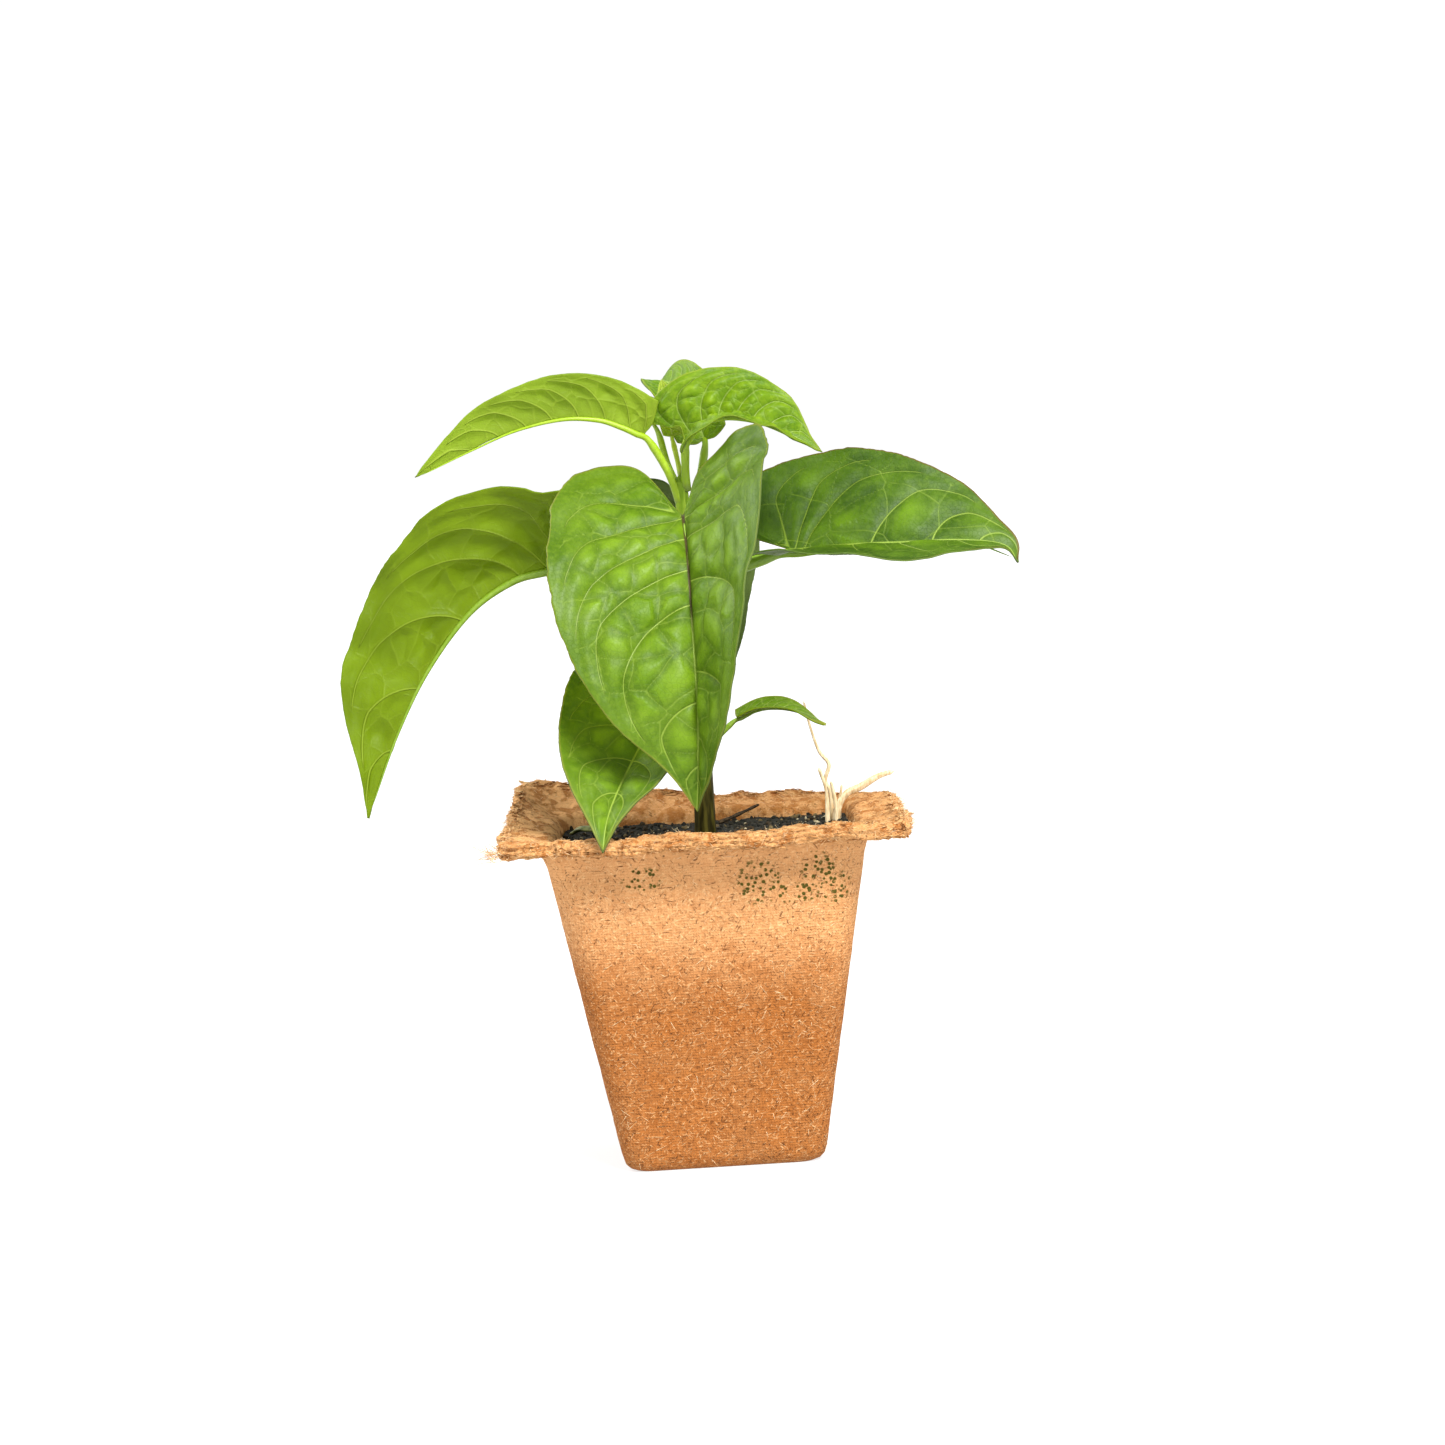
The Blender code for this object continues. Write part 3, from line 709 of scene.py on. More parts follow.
def bladeSpots(leaf, route, side, u, t, seed):
    # all that is known of each spot on one half of a blade
    outline, width, lobe, folds = leaf[side]
    share = np.abs(u) ** blade["columnPower"]
    wide, along = smoothCurve(outline, t).T
    along = along * np.where(along > 0, route.length, lobe * mm)
    start = route.length * t ** blade["rowPower"]
    s = start + (along - start) * veinBow(share)
    whole = wide * width * mm
    across = whole * share
    veins = leaf["veins"] if "veins" in leaf else leaf[side + "Veins"]
    place, gap = veinPlace(veins, route.length, whole, s, share)
    turn = 1.0 if side == "right" else -1.0
    flat = np.stack([turn * across, s, np.full(len(s), seed)], -1)
    pads = leaf["pads"] * mm
    sway = [v + 0.22 * pads * lumps(flat, pads, seed + k) for v, k in ((across, 11), (s, 12))]
    net = padEdges(*sway, leaf["pads"], seed + (0.5 if side == "left" else 0))
    notch = lumps(flat, 2.2 * mm, seed) + 0.6 * lumps(flat, 0.9 * mm, seed)
    margin = np.stack([s, s * 0, s * 0 + seed * mm * 40 + turn * mm * 17], -1)
    wobble = leaf.get("wobble", 0.025) * lumps(margin, 11 * mm, seed)
    across = across * (1 + blade["edgeNotch"] * notch * share**10 + wobble * share**2)
    fold = smoothCurve(folds, s / route.length)[:, 0]
    angle = np.radians(fold + blade["curl"] * across / (width * mm))
    share1 = np.clip(s / route.length, 0, 1)[:, None]
    up = np.array(leaf["up"][0]) * (1 - share1) + np.array(leaf["up"][1]) * share1
    ahead = route.tangent(s)
    up = unit(up - ahead * (up * ahead).sum(1, keepdims=True))
    right = np.cross(ahead, up)
    cos, sin = np.cos(angle)[:, None], np.sin(angle)[:, None]
    out = right * turn * cos + up * sin
    face = up * cos - right * turn * sin
    # pads stand up between the veins, and the midrib lies in a groove
    toSide = np.abs(place - np.round(place)) * gap
    fade = 1 - share**6
    pad = (1 - np.exp(-toSide / 2.0)) * fade
    slope = leaf["pads"] / 3.6  # mm over which a pad rises
    small = (1 - np.exp(-((net / slope) ** 1.5))) * fade * pad
    calm = np.interp(s / route.length, [0, 0.3, 0.75, 1], [1, 1, 0.45, 0.25])
    calm = calm * (0.8 + 0.7 * lumps(flat, 13 * mm, seed + 7))
    swell = lumps(flat, 10 * mm, seed + 5) + 0.3 * lumps(flat, 4 * mm, seed + 9)
    clear = 1 - np.exp(-((across / (2.2 * mm)) ** 2))
    clear = clear * (1 - np.exp(-((start / (leaf.get("calmBase", 0.1) * mm)) ** 2)))
    lift = leaf["puff"] * clear * (0.88 * pad + 0.72 * small * calm + 0.62 * swell)
    lift = lift + blade["edgeWave"] * leaf.get("wave", 1) * share**3 * lumps(flat, 9 * mm, seed + 2)
    lift = lift - blade["ribGroove"] * np.exp(-((across / (0.8 * mm)) ** 2)) * np.minimum(1, whole / (6 * mm))
    where = route.point(s) + out * across[:, None] + face * (lift * mm)[:, None]
    edge = whole * (1 - share) / mm
    return {
        "where": where,
        "veins": np.stack([place, gap, share], -1),
        "flat": np.stack([turn * across / mm, s / mm, edge], -1),
        "nets": np.stack([net, np.minimum(pad, small), swell], -1),
    }


def makeBlade(name, leaf, seed):
    rows, columns = leaf["mesh"]
    route = Route(fromSoil(leaf["midrib"]))
    bm = bmesh.new()
    bmesh.ops.create_grid(bm, x_segments=columns, y_segments=rows, size=0.5)
    made = newObject(name, bm)
    mesh = made.data
    grid = coordsOf(mesh)
    u, t = 2 * grid[:, 0], grid[:, 1] + 0.5
    halves = [bladeSpots(leaf, route, side, u, t, seed) for side in ("left", "right")]
    onRight = u > 0
    setCoords(mesh, np.where(onRight[:, None], halves[1]["where"], halves[0]["where"]))
    corners = np.empty(len(mesh.loops), int)
    mesh.loops.foreach_get("vertex_index", corners)
    faceRight = u[corners].reshape(-1, 4).mean(1) > 0
    cornerRight = np.repeat(faceRight, 4)[:, None]
    for key in ("veins", "flat", "nets"):
        values = np.where(cornerRight, halves[1][key][corners], halves[0][key][corners])
        keep(mesh, key, values, "FLOAT_VECTOR", "CORNER")
    bm = bmesh.new()
    bm.from_mesh(mesh)
    bmesh.ops.remove_doubles(bm, verts=bm.verts, dist=5e-6)
    bmesh.ops.dissolve_degenerate(bm, edges=bm.edges, dist=1e-6)
    bm.to_mesh(mesh)
    bm.free()
    skin = made.modifiers.new("skin", "SOLIDIFY")
    skin.thickness = blade["thickness"]
    skin.offset = 0.0
    skin.material_offset = 1
    skin.material_offset_rim = 1
    return made


def makeStalk(name, leaf):
    # the leaf stalk, and the midrib that it goes on as, under the blade
    radius = leaf["stalkRadius"] * mm
    route = Route(fromSoil(leaf["midrib"]))
    share = np.array([0.03, 0.1, 0.2, 0.35, 0.55, 0.75, 0.97])
    s = share * route.length
    up = np.array(leaf["up"][0]) * (1 - share[:, None]) + np.array(leaf["up"][1]) * share[:, None]
    ahead = route.tangent(s)
    up = unit(up - ahead * (up * ahead).sum(1, keepdims=True))
    drop = np.interp(share, [0, 0.2, 1], [0.75, 0.5, 0.16])[:, None] * radius
    rib = route.point(s) - up * (drop + blade["ribGroove"] * mm)
    stalk = Route(fromSoil(leaf["stalk"]))
    first = stalk.point(np.array([0.02, 0.5, 0.97]) * stalk.length)
    whole = Route(np.vstack([first, rib]))
    joint = stalk.length / whole.length

    def thickness(share, angle):
        places = [0, 0.06, joint * 0.5, joint * 0.85, joint, 0.6, 0.97, 1]
        body = np.interp(share, places, [1.6, 1.25, 1.1, 1.25, 0.9, 0.42, 0.12, 0.02])
        groove = 1 - 0.22 * np.exp(-(((angle - math.pi / 2) / 0.5) ** 2)) * (share < joint)
        return radius * body * groove

    hint = np.cross(-np.asarray(leaf["up"][0], float), whole.tangent(np.array([0.1 * whole.length]))[0])
    return makeTube(name, whole, thickness, 16, 90, hint)


def bladePattern(finish):
    # how near each spot is to a vein, from the piece's own attributes, in mm
    names = ("veins", "flat", "nets")
    veins, flat, nets = (finish.add("Attribute", {"attribute_name": name}, out="Vector") for name in names)
    (place, gap, share), (offset, along, edge), (net, pad, _) = map(finish.split, (veins, flat, nets))
    vein = abs(place - place.near()) * gap + finish.smooth(share, 0.88, 0.97) * 1.5
    fine = finish.cells(1.15, "DISTANCE_TO_EDGE", flat, settings={"voronoi_dimensions": "2D"}, Randomness=1.0)
    return {
        "flat": flat, "share": share, "offset": offset, "across": abs(offset), "along": along, "edge": edge,
        "vein": vein, "net": net + finish.smooth(share, 0.9, 0.98), "pad": pad, "fine": fine,
    }


def veinMask(finish, distance, halfWidth, soft=0.6):
    return 1 - finish.smooth(distance, halfWidth * (1 - soft), halfWidth * (1 + soft))


def veinWidth(leaf):
    return blade["veinWidth"] * min(1.0, leaf["stalkRadius"] / 1.1)


def upperFinish(name, leaf):
    look = greens[leaf["green"]]
    finish = Finish(name)
    finish.set("Specular IOR Level", 0.18)
    finish.set("Coat Roughness", 0.38)
    p = bladePattern(finish)
    length = Route(fromSoil(leaf["midrib"])).length / mm
    width = veinWidth(leaf)
    taper = 1 - 0.5 * p["share"]
    side = veinMask(finish, p["vein"] / taper, width)
    rib = veinMask(finish, p["across"] / (1.0 - 0.35 / length * p["along"]), width * 1.9, 0.4)
    netLine = veinMask(finish, p["net"], 0.17, 0.8)
    fineLine = 1 - finish.smooth(p["fine"], 0.0, 0.10)
    patch = finish.cloud(13 * mm, 3.0)
    speck = finish.cloud(1.4 * mm, 3.0)
    colour = finish.fade(patch, 0.3, 0.7, look["dark"], look["light"])
    # painted shade darkens the valleys between the pads and the fine net of lines, and the tops of the pads are
    # yellower
    colour = finish.blend((1 - finish.smooth(p["pad"], 0.0, 0.6)) * 0.45, colour, look["valley"])
    colour = finish.blend(finish.smooth(speck, 0.42, 0.72) * 0.3, colour, look["top"])
    colour = finish.blend(fineLine * 0.12, colour, look["valley"])
    colour = finish.blend(netLine * 0.34, colour, look["vein"])
    colour = finish.blend(side * (0.95 - 0.50 * p["share"]), colour, look["vein"])
    ribColour = look["vein"]
    if "darkRib" in leaf:
        reach = leaf["darkRib"] * length
        ribColour = finish.fade(p["along"], reach * 0.8, reach * 1.1, (0.075, 0.050, 0.014), look["vein"])
    colour = finish.blend(rib, colour, ribColour)
    margin = 1 - finish.smooth(p["edge"], 0.12, 0.40)
    colour = finish.blend(margin * 0.75, colour, look["margin"])
    # painted shade deepens the green of one half and of the part near the base; a leaf can give a brighter
    # colour instead, to paint light there
    paintedLight = finish.smooth(p["offset"], -0.2, 0.2, leaf.get("dimLeft", 0.0), 0.0)
    start, end = leaf.get("paintedLightReach", (10.0, 27.0))
    paintedLight = paintedLight.highest(finish.smooth(p["along"], start, end, leaf.get("paintedLightBase", 0.0), 0.0))
    colour = finish.blend(paintedLight, colour, leaf.get("dimTo", (0.62, 0.66, 0.30)), "MULTIPLY")
    finish.set("Base Color", colour)
    finish.set("Coat Weight", (1 - paintedLight) * look["gloss"] * finish.smooth(patch, 0.25, 0.7, 0.5, 1.3))
    finish.set("Roughness", finish.smooth(speck, 0.3, 0.8, 0.46, 0.58))
    height = 1 - (side * 0.6).highest(rib * 0.25).highest(netLine * 0.32).highest(fineLine * 0.12)
    grain = finish.cloud(0.45 * mm, 2.0)
    bumps = finish.bump(height, 0.30 * mm)
    wrinkle = finish.cloud(2.6 * mm, 2.0)
    bumps = finish.bump(wrinkle, 0.22 * mm, bumps)
    finish.set("Normal", finish.bump(grain, 0.03 * mm, bumps))
    addGlow(finish, look["glow"])
    return finish.material


def underFinish(name, leaf):
    look = greens[leaf["green"]]
    finish = Finish(name)
    finish.set("Specular IOR Level", 0.18)
    p = bladePattern(finish)
    width = veinWidth(leaf) * 0.95
    taper = 1 - 0.5 * p["share"]
    side = veinMask(finish, p["vein"] / taper, width)
    netLine = veinMask(finish, p["net"], 0.2, 0.8)
    fineLine = 1 - finish.smooth(p["fine"], 0.0, 0.10)
    patch = finish.cloud(12 * mm, 3.0)
    shade = tuple(c * 0.70 for c in look["under"])
    pale = tuple(c * k + a for c, k, a in zip(look["under"], (1.35, 1.22, 1.4), (0.05, 0.06, 0.03)))
    colour = finish.fade(patch, 0.3, 0.7, shade, look["under"])
    # painted shade in the valleys between the pads and along the fine lines
    colour = finish.blend((1 - finish.smooth(p["pad"], 0.1, 0.8)) * 0.25, colour, shade)
    colour = finish.blend(fineLine * 0.16, colour, shade)
    colour = finish.blend(netLine * 0.16, colour, pale)
    colour = finish.blend(side * 0.55, colour, pale)
    finish.set("Base Color", colour)
    finish.set("Roughness", finish.smooth(patch, 0.3, 0.8, 0.46, 0.56))
    height = (side * 0.9).highest(netLine * 0.25).highest(fineLine * 0.1)
    finish.set("Normal", finish.bump(height, 0.35 * mm))
    addGlow(finish, look["underGlow"])
    return finish.material


def addGlow(finish, colour):
    # some light comes through the blade
    glow = finish.add("BsdfTranslucent", None, {"Color": colour})
    both = finish.add("MixShader", None, {0: blade["glow"], 1: Wire(finish.shader.outputs[0]), 2: glow})
    plug(finish.tree, finish.tree.nodes["Material Output"].inputs["Surface"], both)


def stalkFinish(name, leaf):
    look = greens[leaf["green"]]
    light = look["light"]
    pale = tuple(0.25 * a + 0.75 * b for a, b in zip(look["vein"], light))
    finish = Finish(name)
    streak = finish.cloud(1.2 * mm, 3.0)
    colour = finish.fade(streak, 0.35, 0.7, light, pale)
    along = finish.kept("along")
    node = 1 - finish.smooth(along, 0.6, 3.0)
    colour = finish.blend(node * 0.6, colour, (0.06, 0.08, 0.02))
    finish.set("Base Color", colour)
    finish.set("Roughness", finish.smooth(streak, 0.3, 0.7, 0.38, 0.5))
    finish.set("Normal", finish.bump(streak, 0.05 * mm))
    return finish.material


def makeLeaves():
    for k, (node, leaf) in enumerate(leaves.items()):
        name = nameOf(node)
        leafBlade = makeBlade(name + "Blade", leaf, 1.0 + 2.3 * k)
        upper, under = upperFinish(name + "Upper", leaf), underFinish(name + "Under", leaf)
        leafStalk = makeStalk(name + "Stalk", leaf)
        slot = "young_leaf_green" if leaf["left"][0] is young else "leaf_green"
        settle(leafBlade, slot, node, upper, under)
        settle(leafStalk, slot, node, stalkFinish(name + "StalkSkin", leaf))
        print("leaf", name, len(leafBlade.data.polygons), "faces a side")


# stem

stem = {
    "radius": 2.7 * mm,
    "topShare": 0.52,
    "height": 90 * mm,
    "lean": 0.8 * mm,
    "nodes": [19, 30, 47, 53, 57, 62, 78, 82, 85, 86, 88.5],  # where leaves leave it, in mm above the soil
}


def makeStem():
    foot = np.array([0, 0, soilTop - 0.006])
    top = np.array([-stem["lean"], 0, soilTop + stem["height"]])
    middle = np.array([stem["lean"] * 0.5, 0, soilTop + stem["height"] * 0.5])
    route = Route([foot, foot * 0.7 + middle * 0.3 + (0.0002, 0, 0), middle, top])
    joints = (np.array(stem["nodes"]) * mm + 0.006) / route.length

    def thickness(share, angle):
        body = 1.12 - 0.12 * np.clip(share / 0.1, 0, 1)
        body = body * (1 - (1 - stem["topShare"]) * share)
        ridges = 1 + 0.055 * np.cos(5 * angle + 3 * share) + 0.02 * np.cos(13 * angle)
        swell = sum(np.exp(-(((share - j) / 0.016) ** 2)) for j in joints) * 0.14
        end = np.sqrt(np.clip((1 - share) / 0.02, 0.0004, 1))
        return stem["radius"] * body * (ridges + np.minimum(swell, 0.2)) * end

    made = makeTube("stemSkin", route, thickness, 40, 200)
    finish = Finish("stemBark")
    finish.set("Specular IOR Level", 0.08)
    height = finish.add("SeparateXYZ", None, {"Vector": finish.spot()}, "Z")
    streak = finish.cloud(1.0 * mm, 4.0, finish.turned(scale=(1, 1, 0.12)))
    blotch = finish.cloud(4 * mm, 3.0)
    low = finish.fade(streak, 0.35, 0.65, (0.012, 0.010, 0.001), (0.060, 0.050, 0.006))
    high = finish.fade(streak, 0.3, 0.7, (0.13, 0.24, 0.012), (0.24, 0.36, 0.03))
    climb = finish.smooth(height + (blotch - 0.5) * 0.012, soilTop + 0.020, soilTop + 0.062)
    colour = finish.blend(climb, low, high)
    finish.set("Base Color", colour)
    finish.set("Roughness", finish.smooth(streak, 0.3, 0.7, 0.42, 0.6))
    finish.set("Normal", finish.bump(streak, 0.25 * mm))
    settle(made, "stem_green", "stem", finish.material)
    print("stem made")


# fibre pot

pot = {
    "height": soilTop + 4 * mm,
    "topWidth": 2 * (wall + potWall) * mm,
    "baseWidth": 49 * mm,
    "corner": 8 * mm,
    "wall": potWall * mm,
    "foot": 1.6 * mm,
    "reach": flangeReach * mm,
    "rise": 2.2 * mm,
    "around": 640,
    "up": 150,
    "lump": 0.26,  # mm
    "tear": 1.5,  # mm
    "layer": 0.85,  # mm that the layers of the torn edge stand apart
    "weave": 0.95,  # mm from wire to wire of the mesh that left its print
    "weaveTurn": 0.785,  # how far its wires lean
}
potAlgae = [  # patches of green dots on the front, in mm: middle x and z, and half sizes
    (12.4, 71.2, 5.0, 5.2),
    (26.8, 73.8, 4.0, 3.6),
    (30.0, 69.5, 4.0, 4.6),
    (20.5, 68.0, 9.0, 2.2),
    (-15.8, 73.5, 4.6, 2.8),
]
wallTop = pot["height"] - pot["wall"] - pot["rise"]


def wallHalf(z):
    return (pot["baseWidth"] + (pot["topWidth"] - pot["baseWidth"]) * z / wallTop) / 2


def squarePoints(half, radius, share):
    # points on squares with round corners, share 0 to 1 round from the middle of the right side
    flat = half - radius
    quarter = 2 * flat + radius * math.pi / 2
    run = share * 4 * quarter
    side = np.floor(run / quarter)
    along = run - side * quarter
    bend = np.clip((along - flat) / radius, 0, math.pi / 2)
    x = flat + radius * np.cos(bend) - np.maximum(along - flat - radius * math.pi / 2, 0)
    y = np.minimum(along, flat) + radius * np.sin(bend)
    turn = side * math.pi / 2
    return x * np.cos(turn) - y * np.sin(turn), x * np.sin(turn) + y * np.cos(turn)


def flangeLift(x, y):
    corner = pot["topWidth"] / 2 + pot["reach"]
    near = np.maximum(0, 1 - np.hypot(-0.85 * corner - x, corner - y) / (1.9 * corner))
    return 8.5 * mm * near**2 + 0.5 * mm * np.sin(x / corner * 9 + y / corner * 4)


def potProfile():
    # (half width, height, how much of the flange, outward, upward) from the middle of the base,
    # up the outside, round the flange's edge and down the inside, all but the shares in mm
    base, top = wallHalf(0) / mm, wallHalf(wallTop) / mm
    high, low, inner = wallTop / mm, (pot["height"] - pot["wall"]) / mm, pot["wall"] / mm
    wide = top + pot["reach"] / mm
    under = [(0.4, 0, 0, 0, -0.2), (base * 0.5, 0, 0, 0, -0.2), (base - pot["foot"] / mm, 0, 0, 0.3, -0.2)]
    under.append((base, pot["foot"] / mm, 0, 1, 0))
    outside = [(wallHalf(z * mm) / mm, z, 0, 1, 0) for z in np.linspace(0.06, 0.97, 16) * high]
    edge = [
        (top + 0.5, high + 0.3, 0.05, 0.7, -0.7), (top + 2.4, low - 0.5, 0.3, 0, -1),
        (top + 5, low - 0.2, 0.5, 0, -1), (top + 8.4, low - 0.6, 0.8, 0, -1),
        (wide - 0.5, low - 0.7, 0.97, 0.5, -0.7), (wide - 0.1, low - 0.1, 1, 1, 0),
        (wide, low + 1.1, 1, 1, 0), (wide - 0.2, low + 2.3, 1, 1, 0), (wide - 0.6, low + 2.9, 0.97, 0.5, 0.7),
    ]
    over = [
        (top + 8.2, low + 2.9, 0.8, 0, 1), (top + 5, low + 2.5, 0.5, 0, 1), (top + 1.6, low + 2.3, 0.2, 0, 1),
        (top - 1.0, low + 1.9, 0.04, -0.4, 0.9), (top - 2.1, low + 0.8, 0, -0.8, 0.3),
    ]
    inside = [(wallHalf(z * mm) / mm - inner, z, 0, -1, 0) for z in np.linspace(0.96, 0.06, 12) * high]
    floor = [(base - inner - 2, 3, 0, -0.5, 0.5), (0.4, 3, 0, 0, 0.3)]
    rows = np.array(under + outside + edge + over + inside + floor, float) * (mm, mm, 1, 1, 1)
    return rows, len(under + outside + edge), len(under + outside + edge + over)


def makePotShell():
    made = newObject("fibrePotShell", tubeRings(pot["around"], pot["up"]))
    coords = coordsOf(made.data)
    turnShare = (np.arctan2(coords[:, 1], coords[:, 0]) / (2 * math.pi)) % 1
    rows, overRow, insideRow = potProfile()
    steps = np.hypot(np.diff(rows[:, 0]), np.diff(rows[:, 1]))
    # the flange gets more of the mesh than the wall, and the hidden inside least
    weight = np.where(rows[:-1, 2] + rows[1:, 2] > 0.04, 2.2, 1.0) * np.where(rows[:-1, 2] > 0.96, 2.4, 1.0)
    weight = weight * np.where(np.arange(len(steps)) > insideRow + 2, 0.35, 1.0)
    run = np.concatenate([[0], np.cumsum(steps * weight)])
    place = np.clip(coords[:, 2] + 0.5, 0, 1) * run[-1]
    half, z, flange, outward, upward = (np.interp(place, run, rows[:, k]) for k in range(5))
    inward = place > run[overRow]
    corner = np.maximum(pot["corner"] * half / wallHalf(wallTop), 0.3 * half * (half < 20 * mm))
    corner = np.minimum(np.maximum(corner, 0.15 * mm), half * 0.98)
    x, y = squarePoints(half, corner, turnShare)
    where = np.stack([x, y, z], -1)
    heading = unit(np.stack([x, y, np.full(len(x), 1e-9)], -1))
    flat = np.stack([x, y, np.zeros(len(x))], -1)
    # the torn edge of the flange
    torn = 0.9 * lumps(flat, 6 * mm, 1) + 0.5 * lumps(flat, 2.1 * mm, 2) + 0.3 * lumps(flat, 0.9 * mm, 3)
    smooth = 0.05 * lumps(flat, 1 / 90, 0) * pot["topWidth"] / 2 / mm
    where += heading * ((torn * pot["tear"] * flange**3 + smooth * flange) * mm)[:, None]
    where[:, 2] += flange * flangeLift(x, y)
    # lumps in the pressed fibre, and torn layers along the flange
    rough = lumps(where, 7 * mm, 4) + 0.55 * lumps(where, 2.4 * mm, 5) + 0.4 * lumps(where, 1.0 * mm, 6)
    amount = pot["lump"] * rough * (0.45 + 2.2 * np.clip(flange * 4, 0, 1))
    layers = lumps(where * (0.22, 0.22, 1.9), 1.2 * mm, 7) + 0.7 * lumps(where * (0.45, 0.45, 2.2), 0.8 * mm, 8)
    amount = amount + pot["layer"] * layers * np.clip((flange - 0.75) * 5, 0, 1)
    crumpled = inward * (z > pot["height"] - 14 * mm)
    amount = amount + crumpled * (0.75 * lumps(where, 4.5 * mm, 9) + 0.6 * lumps(where, 1.8 * mm, 10))
    normal = heading * outward[:, None] + np.array([0, 0, 1.0]) * upward[:, None]
    where += normal * (amount * mm)[:, None] * (z > 0.3 * mm)[:, None]
    setCoords(made.data, where)
    keep(made.data, "flange", np.maximum(flange, 0.5 * crumpled))
    return made


def potFinish():
    finish = Finish("pressedFibre", roughness=0.95)
    finish.set("Specular IOR Level", 0.15)
    spot = finish.spot()
    x, y, z = finish.split(spot)
    flange = finish.kept("flange")
    # fibres lie every way in the wall: thin streaks at several angles
    streaks = []
    for k, turn in enumerate([(0, 0.5, 0), (0, -0.8, 0.5), (0.3, 1.6, 0.2), (1.1, 0.2, 1.3)]):
        sockets = {"Vector": spot, "Rotation": turn, "Scale": (1, 1, 6.2), "Location": (k * 0.1, 0, 0)}
        long = finish.add("Mapping", {"vector_type": "TEXTURE"}, sockets)
        streaks.append(finish.cloud(0.42 * mm, 2.0, long))
    fibre = streaks[0].highest(streaks[1]).highest(streaks[2]).highest(streaks[3])
    thin = finish.smooth(fibre, 0.62, 0.74)
    shadedDent = 1 - finish.smooth(streaks[0].lowest(streaks[1]).lowest(streaks[2]), 0.24, 0.36)
    cloudy = finish.cloud(9 * mm, 4.0)
    mottle = finish.cloud(1.1 * mm, 4.0, rough=0.62)
    # the upper part is dry and pale, the lower part damp and darker
    level = z + (cloudy - 0.5) * 0.020 + x * 0.08
    dry = finish.smooth(level, 0.040, 0.066)
    light = finish.fade(mottle, 0.3, 0.7, (0.56, 0.25, 0.09), (0.72, 0.37, 0.155))
    damp = finish.fade(mottle, 0.3, 0.7, (0.29, 0.094, 0.019), (0.41, 0.143, 0.032))
    # paler near the top of the wall: partly the fibre's own tone, partly painted light against the flange's
    # shadow
    light = finish.blend(finish.smooth(z, 0.066, 0.076) * 0.45, light, (0.86, 0.46, 0.19))
    colour = finish.blend(dry, damp, light)
    colour = finish.blend(finish.smooth(cloudy, 0.35, 0.7) * 0.2, colour, (0.36, 0.18, 0.07))
    rusty = finish.cloud(3.2 * mm, 3.0)
    torn = finish.smooth(flange, 0.0, 0.12)
    colour = finish.blend(torn * 0.7, colour, (0.58, 0.29, 0.105))
    colour = finish.blend(finish.smooth(rusty, 0.44, 0.62) * torn * 0.85, colour, (0.34, 0.115, 0.022))
    colour = finish.blend(thin * (0.40 + 0.15 * dry), colour, (0.90, 0.60, 0.30))
    # painted shade in the dents of the pressed fibre
    colour = finish.blend(shadedDent * 0.75, colour, (0.17, 0.055, 0.015))
    # bark specks in the fibre
    dots = finish.cells(2.2 * mm, Randomness=1.0)
    speck = (1 - finish.smooth(dots, 0.07, 0.17)) * finish.smooth(finish.cloud(5 * mm), 0.42, 0.55)
    colour = finish.blend(speck * 0.75, colour, (0.10, 0.04, 0.015))
    # algae in small dots on the front, in patches under the flange
    front = finish.smooth(y, -0.030, -0.034)
    patches = None
    for cx, cz, rx, rz in potAlgae:
        dx, dz = (x - cx * mm) / (rx * mm), (z - cz * mm) / (rz * mm)
        patch = 1 - finish.smooth(dx * dx + dz * dz + (mottle - 0.5) * 1.4, 0.8, 1.5)
        patches = patch if patches is None else patches.highest(patch)
    beads = finish.cells(1.12 * mm, Randomness=0.9)
    bead = (1 - finish.smooth(beads + (mottle - 0.5) * 0.3, 0.32, 0.50)) * patches * front
    bead = bead * finish.smooth(finish.cloud(2.4 * mm), 0.32, 0.42)
    colour = finish.blend(bead * 0.95, colour, (0.060, 0.066, 0.006))
    # a greenish damp stain inside and on the top of the flange
    wet = finish.cloud(6 * mm, 3.0, finish.turned((0, 0, 1.0)))
    stain = finish.smooth(wet, 0.58, 0.72) * finish.smooth(flange, 0.1, 0.3)
    colour = finish.blend(stain * 0.15, colour, (0.24, 0.15, 0.04))
    # darker brown on the inner side of the rim towards the back, in patches
    inside = finish.smooth(abs(x).highest(abs(y)), 0.045, 0.0375) * torn * finish.smooth(y, -0.010, 0.030)
    inside = inside * (0.08 + 0.62 * finish.smooth(rusty, 0.40, 0.62))
    colour = finish.blend(inside, colour, (0.42, 0.17, 0.045))
    # painted light on the bent-up corner of the torn edge, where the leaves cast shadow, less on the rusty
    # spots
    paintedLightCorner = torn * finish.smooth(x, -0.024, -0.034) * finish.smooth(y, -0.036, -0.020)
    paintedLightCorner = paintedLightCorner * (0.55 - 0.45 * finish.smooth(rusty, 0.46, 0.58))
    colour = finish.blend(paintedLightCorner, colour, (0.88, 0.50, 0.21))
    finish.set("Base Color", colour)
    # a fine wire mesh has left its print in the wall
    wx, _, wz = finish.split(finish.turned((0, pot["weaveTurn"], 0)))
    weave = 2 * math.pi / (pot["weave"] * mm)
    wallOnly = 1 - finish.smooth(flange, 0.0, 0.05)
    mesh = (wx * weave).wave() * (wz * weave).wave() * wallOnly
    relief = fibre * 0.9 + mottle * 0.8 + rusty * torn * 1.6 + mesh * 0.10 - shadedDent * 0.5
    finish.set("Normal", finish.bump(relief, 0.60 * mm))
    return finish.material


strands = {
    "edge": 3000,  # loose fibres round the flange's edge
    "face": 2300,  # and on the walls and the flange
    "tuft": 60,  # in the tuft at the left end of the front edge
    "shreds": 1700,  # flat torn bits that make up the flange's edge
}


